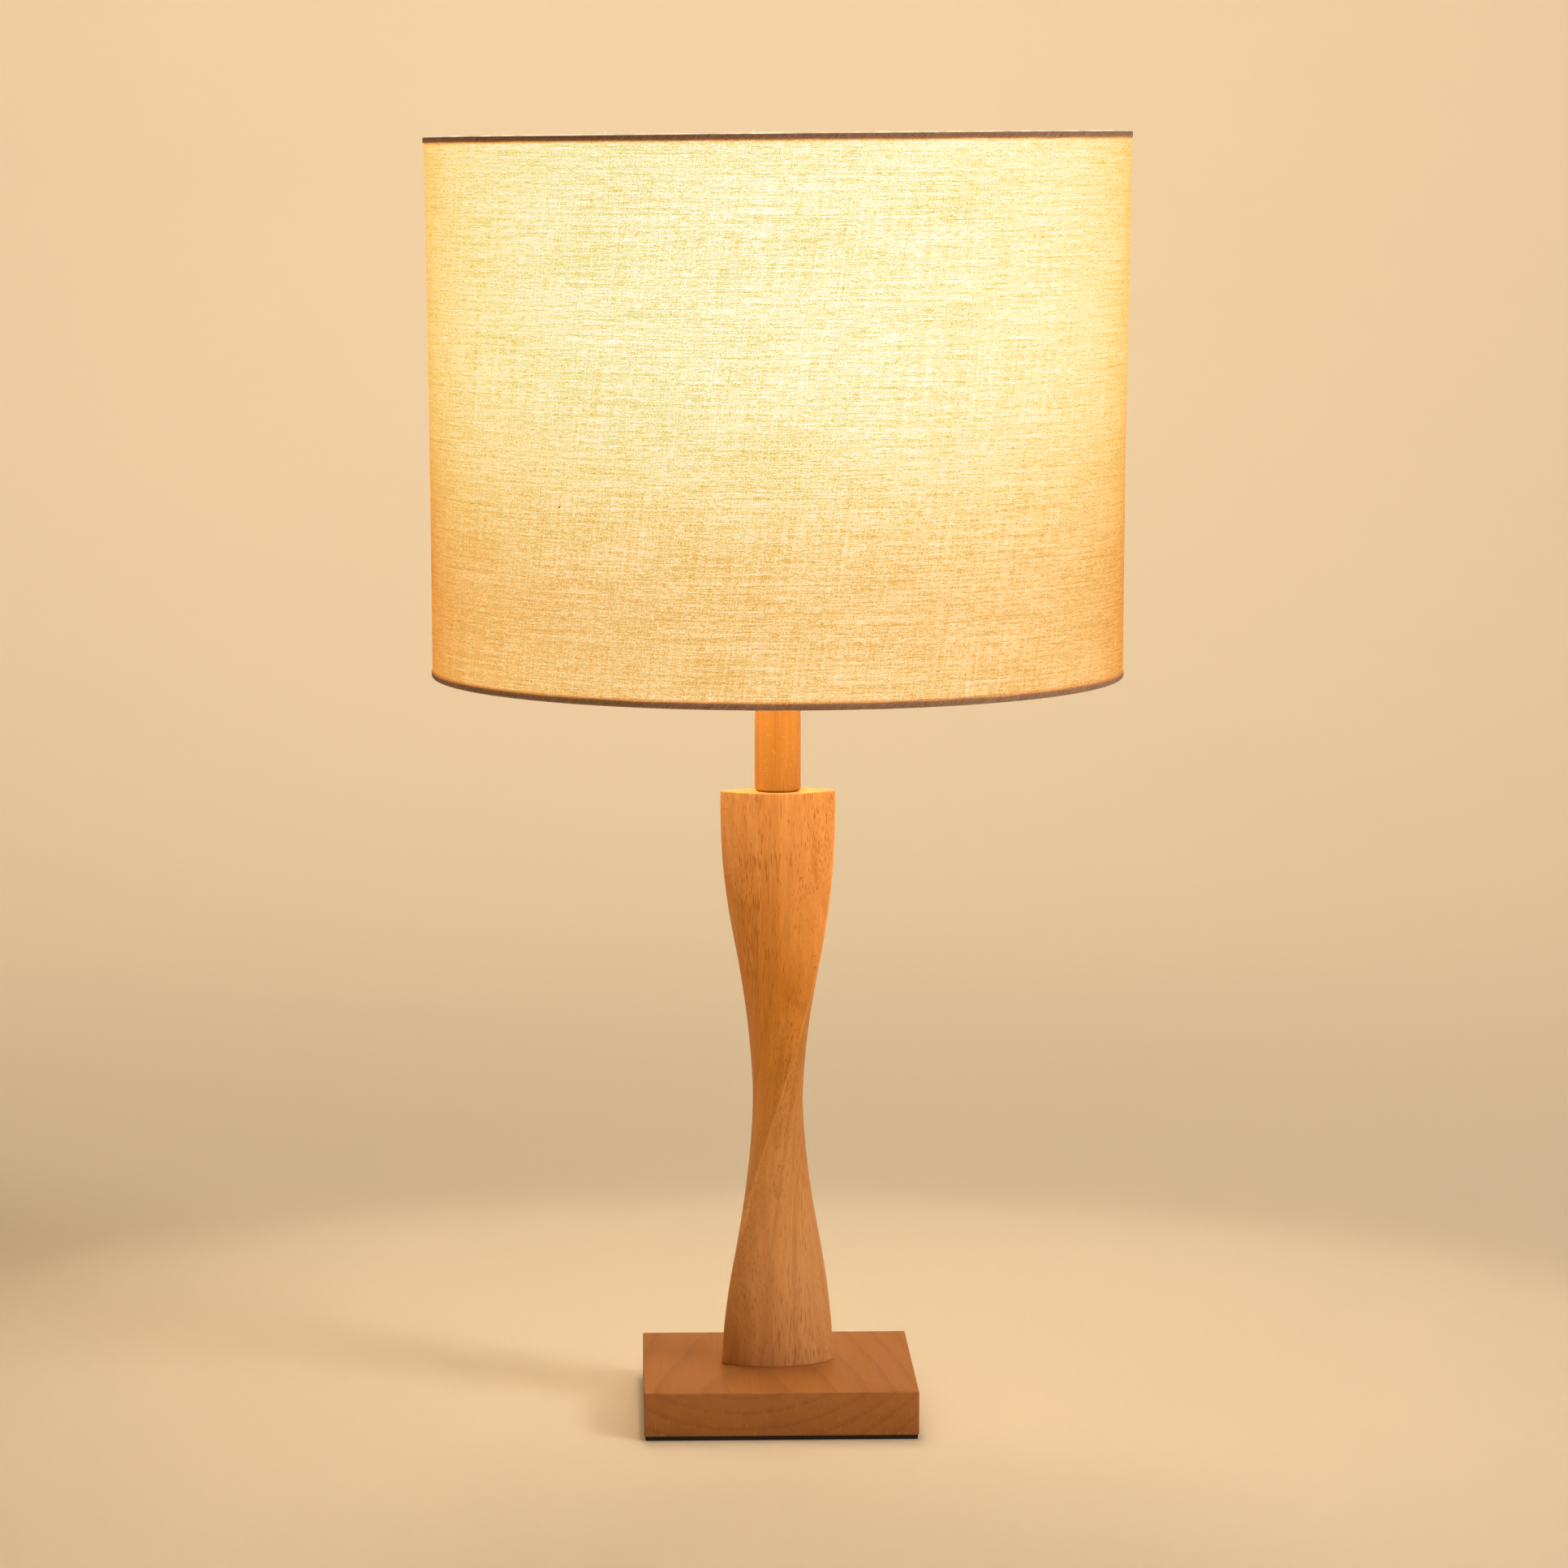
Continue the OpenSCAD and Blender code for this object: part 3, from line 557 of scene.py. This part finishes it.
def wood_set():
    column = wood_material(
        "column_rubberwood", upright_grain, (58 * MM, 74 * MM, 11 * MM, 0.012), (0.43, 0.153, 0.025),
        (0.74, 0.337, 0.084), (0.60, 0.75, 0.32, 0.12), (0.062, 0.7), 0.06, edge="rubbed_and_highlit",
        # Lengths at the foot and the top over which the column is painted paler, as painted light
        painted_light_ends=(160 * MM, 100 * MM))
    dowel = wood_material(
        "dowel_rubberwood", upright_grain, (-40 * MM, 35 * MM, 7 * MM, 0.02), (0.32, 0.118, 0.018),
        (0.50, 0.235, 0.050), (0.60, 0.80, 0.25, 0.05), (0.02, 0.4), 0.18, fleck=0.6)
    base = wood_material(
        "base_rubberwood", front_to_back_grain, (-20 * MM, 105 * MM, 8 * MM, 0.10), (0.295, 0.114, 0.036),
        (0.455, 0.191, 0.062), (0.40, 0.40, 0.30, 0.20), (-0.01, 0.4), 0.05, fleck=0.35, edge="rubbed_and_highlit")
    return {"column_wood": column, "neck_wood": dowel, "base_wood": base}


MATERIALS = {
    **wood_set(),
    "shade_linen": lit_linen(),
    "trim_linen": trim_linen(),
    "liner_plastic": liner_sheet(),
    "lit_globe": frosted_globe(),
    "pad_rubber": plastic("pad_rubber", (0.012, 0.010, 0.009), 0.85, 900, 0.08 * MM),
    "black_plastic": plastic("black_phenolic", (0.018, 0.017, 0.016), 0.42),
    "white_plastic": plastic("white_plastic", (0.80, 0.78, 0.74), 0.45),
    "board_white": plastic("board_white", (0.86, 0.86, 0.84), 0.5),
    "zinc_steel": metal("zinc_steel", (0.56, 0.57, 0.59), (0.44, 0.45, 0.46), 0.34),
    "socket_brass": metal("socket_brass", (0.72, 0.50, 0.22), (0.50, 0.33, 0.14), 0.26, (700, 700, 25)),
    "contact_brass": metal("contact_brass", (0.80, 0.60, 0.28), (0.62, 0.43, 0.18), 0.30),
    "finial_brass": metal("finial_brass", (0.74, 0.52, 0.24), (0.56, 0.37, 0.16), 0.18, (60, 60, 900),
                          coat=0.4),
    "bare_aluminium": metal("bare_aluminium", (0.74, 0.74, 0.75), (0.60, 0.60, 0.61), 0.32, (400, 400, 900)),
    "frame_white": metal("white_enamel", (0.80, 0.78, 0.74), (0.72, 0.69, 0.64), 0.42, metallic=0.0,
                         coat=0.2),
    "fibre_card": card("fibre_card"),
}


def dress_cad_nodes():
    """Every CAD node that stays takes the finished material of its slot."""
    for row in frame["record"]["subparts"]:
        wear(frame["nodes"][row["node"]], MATERIALS[row["material_slot"]])


# ---- wooden pieces ----

def section(count):
    """The column's lens section, its two edges lightly rounded. Also how much each point near an edge is
    lightened, for wear and as a painted highlight.
    """
    points = []
    for i in range(count):
        a = TAU * i / count
        c, s = math.cos(a), math.sin(a)
        points.append(Vector((math.copysign(abs(c) ** (2 / FLANK_POWER), c) * COLUMN_W / 2,
                              math.copysign(abs(s) ** (2 / EDGE_POWER), s) * COLUMN_T / 2)))
    edge_zone, edge_easing, rub_and_highlight_zone = 2.2 * MM, 12, 0.7 * MM
    nearness = [max(0.0, 1 - (COLUMN_W / 2 - abs(p.x)) / edge_zone) for p in points]
    rub_and_highlight = [max(0.0, 1 - (COLUMN_W / 2 - abs(p.x)) / rub_and_highlight_zone) for p in points]
    for _ in range(edge_easing):
        eased = [(points[i - 1] + points[(i + 1) % count]) / 2 for i in range(count)]
        points = [p.lerp(e, 0.5 * n) for p, e, n in zip(points, eased, nearness)]
    return points, rub_and_highlight


def inset_section(points, inset):
    """The section moved in from its outline."""
    if not inset:
        return points
    moved, count = [], len(points)
    for i, p in enumerate(points):
        along = points[(i + 1) % count] - points[i - 1]
        moved.append(p + Vector((-along.y, along.x)).normalized() * inset)
    return moved


def twist_at(u):
    """Direction of the long axis, with u from -1 at the bottom to 1 at the top."""
    return math.radians(TOP_TURN_DEG - TWIST_DEG / 2 + (TWIST_DEG / 2 + TWIST_EASE_DEG) * u
                        - TWIST_EASE_DEG * u ** 3)


def twisted_column():
    """The lens section swept up and turned, with eased rims and flanks sanded by hand."""
    count, rings, ease = 192, 220, 0.45 * MM
    outline, edge_rub_and_highlight = section(count)
    low_z, high_z = COLUMN_LOW.z, COLUMN_HIGH.z
    levels = [(0.0, ease), (0.13 * ease, 0.5 * ease), (0.5 * ease, 0.13 * ease)]
    heights = [(low_z + up, inset) for up, inset in levels]
    heights += [(low_z + ease + (high_z - low_z - 2 * ease) * i / rings, 0.0) for i in range(rings + 1)]
    heights += [(high_z - up, inset) for up, inset in reversed(levels)]
    verts, rubbed_and_highlit = [], []
    for z, inset in heights:
        turn = Matrix.Rotation(twist_at(2 * (z - low_z) / (high_z - low_z) - 1), 2)
        for p, near in zip(inset_section(outline, inset), edge_rub_and_highlight):
            x, y = turn @ p
            # Hand sanding leaves the long flanks a hair uneven
            uneven = 0.09 * MM * noise.noise(Vector((x * 45, y * 45, z * 22)))
            out = Vector((x, y)).normalized() * uneven
            verts.append((x + out.x, y + out.y, z))
            rubbed_and_highlit.append(max(near, 0.8 if inset else 0.0))
    faces = rings_to_faces(len(heights), count)
    faces.append(tuple(range(count)))
    faces.append(tuple(range(len(verts) - count, len(verts))))
    column = piece_from("column_twisted_wood", verts, faces)
    # The edges and the eased rims at both ends are lightened, partly for wear and partly as a painted
    # highlight
    mark(column, "rubbed_and_highlit", rubbed_and_highlit)
    sharpen(column, 50)
    return column


def mark(piece, name, values):
    """Stores a value from 0 to 1 at each point, for a material to read by name."""
    layer = piece.data.attributes.new(name, "FLOAT", "POINT")
    layer.data.foreach_set("value", values)


def neck_dowel():
    """Round neck that joins the column to the lamp holder."""
    r, ease = (DOWEL_HIGH.x - DOWEL_LOW.x) / 2, 0.5 * MM
    low, high = DOWEL_LOW.z, DOWEL_HIGH.z
    # A shallow groove round its foot, where the shoulder was undercut to close the joint
    groove, groove_h, lip_r = 0.9 * MM, 0.8 * MM, 0.4 * MM
    profile = [(0.0, low), (r - groove, low), (r - groove, low + groove_h)]
    profile += arc((r - lip_r, low + groove_h + lip_r), lip_r, -90, 0, 4)
    profile += [(r, low + (high - low) * i / 30) for i in range(1, 30)]
    profile += arc((r - ease, high - ease), ease, 0, 90, 4)
    profile += [(0.0, high)]

    def uneven(angle, i):
        if profile[i][0] < r - ease:
            return 0, 0
        at = Vector((math.sin(angle) * 2, math.cos(angle) * 2, profile[i][1] * 40))
        return 0.05 * MM * noise.noise(at), 0

    return lathe("neck_dowel_wood", profile, 96, shift=uneven)


def drill(name, radius, low, high, segments):
    """A cylinder on the Z axis to cut with."""
    return lathe(name, [(0, low), (radius, low), (radius, high), (0, high)], segments)


def base_block():
    """Square block with the clamp nut's recess below, the tube's bore and the cord's way out behind."""
    edge_r, edge_wear_and_highlight = 0.7 * MM, 0.55
    block = rounded_block("base_block_wood", BASE_LOW, BASE_HIGH, 1.0 * MM, edge_r)
    recess_r, recess_h = 23 * MM, 12 * MM
    cut(block, drill("recess_tool", recess_r, PAD_LOW.z, BASE_LOW.z + recess_h, 96))
    inlet_start, inlet_length = 12 * MM, 60 * MM
    inlet = drill("inlet_tool", GLAND_R, 0, inlet_length, 48)
    inlet.matrix_world = (Matrix.Translation((0, inlet_start, INLET_Z))
                          @ Matrix.Rotation(-math.pi / 2, 4, "X"))
    cut(block, inlet)
    bore_r, bore_h = 5.3 * MM, 30 * MM
    cut(block, drill("bore_tool", bore_r, 0, bore_h, 48))
    # The top edges are lightened, partly for wear and partly as a painted highlight
    rubbed_and_highlit = []
    for vertex in block.data.vertices:
        inward = min(BASE_HIGH.x - abs(vertex.co.x), BASE_HIGH.y - abs(vertex.co.y))
        drop = BASE_HIGH.z - vertex.co.z
        on_top_edge = inward < edge_r + 0.02 * MM and 0.01 * MM < drop < edge_r + 0.02 * MM
        rubbed_and_highlit.append(edge_wear_and_highlight if on_top_edge else 0.0)
    mark(block, "rubbed_and_highlit", rubbed_and_highlit)
    for polygon in block.data.polygons:
        polygon.use_smooth = True
    sharpen(block, 30)
    return block


def foot_pad():
    """Square rubber pad under the block."""
    return rounded_block("foot_pad_rubber", PAD_LOW, PAD_HIGH, 1.2 * MM, 0.35 * MM, 3)


# ---- shade ----

def wall_r(z):
    """Radius of the cloth's outer face at a height."""
    share = (z - SHADE_LOW_Z) / (SHADE_HIGH_Z - SHADE_LOW_Z)
    return SHADE_BOTTOM_R + (SHADE_TOP_R - SHADE_BOTTOM_R) * share


def out_of_round(angle, z):
    """The stiff wall is a touch uneven between its two wires."""
    bow = math.sin(math.pi * (z - SHADE_LOW_Z) / (SHADE_HIGH_Z - SHADE_LOW_Z))
    at = Vector((math.sin(angle) * 1.6, math.cos(angle) * 1.6, z * 7))
    return (0.35 * noise.noise(at) - 0.2 * bow) * MM


def seam_lift(angle):
    """The cloth laps over itself behind: a folded edge on one side, a soft rise on the other."""
    from_back = (angle - math.pi) * SHADE_BOTTOM_R
    rise = 5 * MM
    if from_back < 0 or from_back > SEAM_LAP:
        return 0.0
    return 0.55 * MM * min(1.0, (SEAM_LAP - from_back) / rise)


def wall_angles():
    """Even steps round the wall, with extra ones at the folded edge of the seam."""
    steps = [TAU * i / 360 for i in range(360)]
    fine = [math.pi + d * MM / SHADE_BOTTOM_R for d in (-0.3, -0.05, 0.0, 0.05, 0.3, 7, 9.5, 12)]
    return sorted(set(steps + fine))


def wall_sheet(name, inset, thickness, seam):
    """A thin closed wall between the rims: up its outer face, down its inner face."""
    low, high = SHADE_LOW_Z + TRIM_T, SHADE_HIGH_Z - TRIM_T
    rows = 48
    heights = [low + (high - low) * i / rows for i in range(rows + 1)]
    angles = wall_angles()
    verts = []
    for inner, levels in ((0.0, heights), (thickness, reversed(heights))):
        for z in levels:
            for angle in angles:
                r = wall_r(z) - inset - inner + out_of_round(angle, z)
                if seam and not inner:
                    r += seam_lift(angle)
                verts.append((r * math.sin(angle), -r * math.cos(angle), z + rim_lift(angle, z)))
    faces = rings_to_faces(2 * (rows + 1), len(angles), close_rings=True)
    wall = piece_from(name, verts, faces)
    sharpen(wall, 40)
    return wall


def rim_lift(angle, z):
    """The cut of the cloth runs up a little from left to right along the top rim, and dies out below."""
    share = max(0.0, (z - SHADE_LOW_Z) / (SHADE_HIGH_Z - SHADE_LOW_Z))
    return (1.2 + 1.5 * math.sin(angle)) * MM * share ** 6


def trim(name, rim_z, inward, cover, seed, leak=0.0):
    """A strip of linen folded over a rim wire: up the outside, over the edge, round the wire.
    inward is -1 at the top rim and 1 at the bottom rim, cover how far the strip reaches over the
    outside, and leak how much light the fold lets by."""
    around = 720

    def at(distance):
        return rim_z + inward * distance

    wire_z = at(TRIM_T + RIM_WIRE_R)
    inner_r = wall_r(wire_z) - FABRIC_T - LINER_T - 2 * RIM_WIRE_R
    outer_r = wall_r(rim_z) + TRIM_T
    half = (outer_r - inner_r + TRIM_T) / 2
    crown_h = 1.0 * MM
    crown = []
    for i in range(9):
        a = math.pi * i / 8
        crown.append((outer_r - half + half * math.cos(a), at(crown_h - crown_h * math.sin(a))))
    cloth_r = wall_r(at(cover))
    outside = [(cloth_r + 0.08 * MM, at(cover)), (cloth_r + 0.3 * MM, at(cover - 0.05 * MM)),
               (cloth_r + TRIM_T, at(cover - 0.35 * MM)), (outer_r, at(1.8 * MM))]
    liner_r = wall_r(at(TRIM_INNER_H)) - FABRIC_T - LINER_T
    inside = [(inner_r - TRIM_T, at(TRIM_T + 2 * RIM_WIRE_R)),
              (liner_r - TRIM_T, at(TRIM_INNER_H - 1.5 * MM)),
              (liner_r - 0.6 * TRIM_T, at(TRIM_INNER_H)), (liner_r - 0.05 * MM, at(TRIM_INNER_H)),
              (inner_r, at(TRIM_T + 2 * RIM_WIRE_R)), (inner_r + 0.2 * MM, at(1.4 * MM)),
              (outer_r - TRIM_T - 0.2 * MM, at(1.4 * MM)), (cloth_r + 0.02 * MM, at(cover - 0.3 * MM))]
    profile = outside + crown + inside
    loose = set(range(4))

    def uneven(angle, i):
        coarse = Vector((math.sin(angle) * 9, math.cos(angle) * 9, seed))
        fine = Vector((math.sin(angle) * 55, math.cos(angle) * 55, seed + 4))
        raised = 0.10 * MM * noise.noise(fine)
        lift = rim_lift(angle, profile[i][1])
        if i not in loose:
            return raised * (0.6 if i < len(outside) + len(crown) else 0.0), lift
        # The glued edge wanders a little up and down
        ragged = 0.32 * noise.noise(coarse) + 0.16 * noise.noise(fine * 2)
        return raised, lift + inward * ragged * MM * (1.0 if i < 2 else 0.5)

    ring = lathe(name, profile, around, closed=True, shift=uneven)
    glued = [1.0, 1.0, 0.5] + [0.0] * (len(profile) - 3)
    fold = [leak if 6 <= i <= 9 else 0.0 for i in range(len(profile))]
    mark(ring, "glued", [value for value in glued for _ in range(around)])
    mark(ring, "fold", [value for value in fold for _ in range(around)])
    sharpen(ring, 60)
    return ring


def loose_ends():
    """Ends of yarn that have worked out of the fold of the top trim and stand up from it."""
    steps, sides, thread_r = 7, 5, 0.11 * MM
    # Degrees round the rim from the front, millimetres of height, millimetres that the tip leans
    loose = ((-50, 1.7, 0.9), (-29, 2.1, -0.8), (-12, 1.0, 0.7), (-5.5, 1.9, 1.2), (1.5, 1.7, -1.3),
             (24, 1.1, 0.6), (37, 1.4, -0.9), (152, 1.6, 1.0))
    verts, faces = [], []
    for at_deg, reach, lean in loose:
        angle = math.radians(at_deg)
        rim_r = wall_r(SHADE_HIGH_Z) - 0.3 * MM
        foot_z = SHADE_HIGH_Z + rim_lift(angle, SHADE_HIGH_Z) - 0.3 * MM
        start = len(verts)
        for i in range(steps):
            t = i / (steps - 1)
            along = angle + lean * MM * t * t / rim_r
            centre = Vector((rim_r * math.sin(along), -rim_r * math.cos(along),
                             foot_z + reach * MM * t * (1.5 - 0.5 * t)))
            for j in range(sides):
                turn = TAU * j / sides
                verts.append(centre + thread_r * Vector((math.cos(turn), math.sin(turn), 0)))
        faces += [tuple(start + k for k in face) for face in rings_to_faces(steps, sides)]
        faces += [tuple(range(start, start + sides)), tuple(range(len(verts) - sides, len(verts)))]
    ends = piece_from("top_trim_loose_ends", verts, faces)
    # The ends glow all along as if lit through by the bulb: painted light, like the light creeping along the
    # fold
    mark(ends, "fold", [1.0] * len(verts))
    return ends


# ---- harp, bulb and finial ----

def harp_side(top_z):
    """Middle of the wire from foot to top on the right, as (x, z, lean from upright)."""
    arch_z = top_z - HARP_HALF_W
    foot_x, foot_z = HARP_HALF_W * math.cos(HARP_LEAN), arch_z - HARP_HALF_W * math.sin(HARP_LEAN)
    bend_x = HARP_LEG_X + HARP_BEND_R * (1 - math.cos(HARP_LEAN))
    straight = (foot_x - bend_x) / math.sin(HARP_LEAN)
    leg_top = foot_z - straight * math.cos(HARP_LEAN) - HARP_BEND_R * math.sin(HARP_LEAN)
    path = [(HARP_LEG_X, HARP_LOW.z + (leg_top - HARP_LOW.z) * i / 8, 0.0) for i in range(8)]
    for i in range(9):
        a = HARP_LEAN * i / 8
        path.append((HARP_LEG_X + HARP_BEND_R * (1 - math.cos(a)), leg_top + HARP_BEND_R * math.sin(a), a))
    for i in range(41):
        a = -HARP_LEAN + (math.pi / 2 + HARP_LEAN) * i / 40
        path.append((HARP_HALF_W * math.cos(a), arch_z + HARP_HALF_W * math.sin(a), -a))
    return path


def harp_wire():
    """Round wire bent over the bulb, with its two feet pressed half flat."""
    right = harp_side(HARP_HIGH.z - HARP_R)
    path = right + [(-x, z, math.pi - lean) for x, z, lean in reversed(right[:-1])]
    sides = 24
    foot_high = HARP_LOW.z + 8.5 * MM
    verts = []
    for x, z, lean in path:
        for j in range(sides):
            a = TAU * j / sides
            across = HARP_R * math.cos(a)
            px = x + across * math.cos(lean)
            # The feet are pressed flat on their inner half, to lie against the saddle's tabs
            if z < foot_high:
                px = math.copysign(max(abs(px), HARP_LEG_X + 0.05 * MM), x)
            verts.append((px, HARP_R * math.sin(a), z - across * math.sin(lean)))
    faces = rings_to_faces(len(path), sides)
    faces.append(tuple(range(sides)))
    faces.append(tuple(range(len(verts) - sides, len(verts))))
    wire = piece_from("harp_bent_wire", verts, faces)
    sharpen(wire, 50)
    return wire


def bulb_globe():
    """Thin frosted bowl, closed at the top and open at its collar."""
    r = max(GLOBE_HIGH.x - GLOBE_LOW.x, GLOBE_HIGH.y - GLOBE_LOW.y) / 2
    centre_z = GLOBE_HIGH.z - r
    low_deg = math.degrees(math.asin((GLOBE_LOW.z - centre_z) / r))
    wall = 1.0 * MM
    profile = arc((0, centre_z), r, low_deg, 90, 40)
    profile += arc((0, centre_z), r - wall, 90, low_deg, 40)
    profile = [(max(radius, 0.0), z) for radius, z in profile]
    globe = lathe("bulb_frosted_globe", profile, 96, closed=True)
    merge_points(globe)
    return globe


def finial_knob():
    """Turned brass ball on a foot, a cove and a bead, bored from below."""
    low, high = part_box("finial")
    foot_z = low.z
    ball_r, ball_z = 7.1 * MM, high.z - 7.2 * MM
    bore_r, bore_h = 3.2 * MM, 8.2 * MM
    foot_r, foot_round = 6.2 * MM, 0.6 * MM
    profile = [(bore_r, foot_z + bore_h), (bore_r, foot_z), (foot_r, foot_z)]
    profile += arc((foot_r, foot_z + foot_round), foot_round, -90, 60, 6)
    profile += arc((4.9 * MM, foot_z + 2.6 * MM), 0.9 * MM, -60, -150, 6)
    profile += arc((5.1 * MM, foot_z + 3.7 * MM), 0.55 * MM, -120, 120, 8)
    profile += arc((0, ball_z), ball_r, -46, 90, 36)
    profile = [(max(radius, 0.0), z) for radius, z in profile] + [(0.0, foot_z + bore_h)]
    knob = lathe("finial_turned_brass", profile, 96, closed=True)
    merge_points(knob)
    return knob


# ---- put every piece in place ----

def place(piece, slot, body, *nodes):
    """Puts a finished piece in place of CAD nodes, in a material slot, on a body."""
    wear(piece, MATERIALS[slot])
    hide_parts(*nodes)
    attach(piece, body)


def build_object():
    """Every visible piece, each put in place with its material."""
    dress_cad_nodes()
    place(foot_pad(), "pad_rubber", "stand", "foot_pad")
    place(base_block(), "base_wood", "stand", "base_block")
    place(twisted_column(), "column_wood", "stand", "twisted_column")
    place(neck_dowel(), "neck_wood", "stand", "neck_dowel")
    cloth = wall_sheet("shade_cloth", 0.0, FABRIC_T - 0.05 * MM, True)
    liner = wall_sheet("shade_stiff_liner", FABRIC_T, LINER_T, False)
    top = trim("top_folded_trim", SHADE_HIGH_Z, -1, TOP_TRIM_H, 3.0, 1.0)
    ends = loose_ends()
    bottom = trim("bottom_folded_trim", SHADE_LOW_Z, 1, TRIM_H, 8.0)
    place(cloth, "shade_linen", "shade", "shade_fabric")
    place(liner, "liner_plastic", "shade", "shade_liner")
    place(top, "trim_linen", "shade", "top_trim")
    place(ends, "trim_linen", "shade", "top_trim")
    place(bottom, "trim_linen", "shade", "bottom_trim")
    place(harp_wire(), "zinc_steel", "harp", "harp_wire")
    place(bulb_globe(), "lit_globe", "bulb", "bulb_globe")
    place(finial_knob(), "finial_brass", "finial", "finial")


# ---- camera, floor and lights ----

def make_camera():
    """A long lens at shade height, turned a little from square on."""
    data = bpy.data.cameras.new("camera")
    data.sensor_width = 36
    data.lens = 121.67
    data.clip_end = 100
    camera = bpy.data.objects.new("camera", data)
    camera.location = (-0.0751, -2.5134, 0.6062)
    pitch, yaw = math.radians(6.84), math.radians(1.78)
    camera.rotation_euler = (math.pi / 2 - pitch, 0, -yaw)
    bpy.context.scene.collection.objects.link(camera)
    bpy.context.scene.camera = camera


def make_studio_sweep():
    """A pale floor that curves up all round into a wall."""
    flat_r, cove_r, wall_h = 1.6, 2.6, 2.4
    profile = [(0.0, 0.0)] + [(flat_r * i / 8, 0.0) for i in range(1, 8)]
    profile += arc((flat_r, cove_r), cove_r, -90, 0, 32)
    profile += [(flat_r + cove_r, cove_r + wall_h)]
    sweep = piece_from("studio_sweep", *turned(profile, 96))
    g = Graph("pale_studio_paper")
    mottle = g.noise(g.place, scale=3.0, detail=4)
    g.principled(Base_Color=g.mix(mottle, (0.84, 0.78, 0.68), (0.87, 0.81, 0.71)), Roughness=0.75,
                 Specular_IOR_Level=0.2)
    wear(sweep, g.material)


def turned(profile, segments):
    """Points and faces of an open surface of revolution whose first point is on the axis."""
    verts = [(0, 0, profile[0][1])]
    for r, z in profile[1:]:
        verts += [(r * math.cos(TAU * j / segments), r * math.sin(TAU * j / segments), z)
                  for j in range(segments)]
    faces = [(0, 1 + j, 1 + (j + 1) % segments) for j in range(segments)]
    faces += [tuple(1 + k for k in face) for face in rings_to_faces(len(profile) - 1, segments)]
    return verts, faces


def soft_light(name, place, aim, size, power, colour):
    """A round soft box, unseen itself."""
    data = bpy.data.lights.new(name, "AREA")
    data.shape = "DISK"
    data.size = size
    data.energy = power
    data.color = colour
    light = bpy.data.objects.new(name, data)
    light.location = place
    light.rotation_euler = (Vector(aim) - Vector(place)).to_track_quat("-Z", "Y").to_euler()
    light.visible_camera = False
    bpy.context.scene.collection.objects.link(light)


def make_lights():
    """A soft key from the front right, a little from behind, and warm light all round."""
    middle = (0, 0, 0.3)
    soft_light("key", (2.35, -1.5, 1.95), middle, 1.0, 35, (1.0, 0.92, 0.80))
    soft_light("back", (-0.4, 2.3, 1.9), middle, 1.6, 1.5, (1.0, 0.80, 0.56))
    # These turn their backs on the lamp and wash the floor and the foot of the wall round it
    out, aim_out, height, size = 2.0, 3.4, 2.7, 1.4
    for name, x, y, power in (("wall_back", 0, 1, 43), ("wall_left", -1, 0, 1), ("wall_right", 1, 0, 5)):
        soft_light(name, (out * x, out * y, height), (aim_out * x, aim_out * y, 0.0), size, power,
                   (1.0, 0.78, 0.53))
    world = bpy.data.worlds.new("studio")
    world.use_nodes = True
    background = world.node_tree.nodes["Background"]
    background.inputs["Color"].default_value = (0.90, 0.64, 0.38, 1)
    background.inputs["Strength"].default_value = 0.145
    bpy.context.scene.world = world


def main():
    make_camera()
    build_object()
    make_studio_sweep()
    make_lights()
    bpy.context.scene.view_settings.view_transform = "Standard"


main()
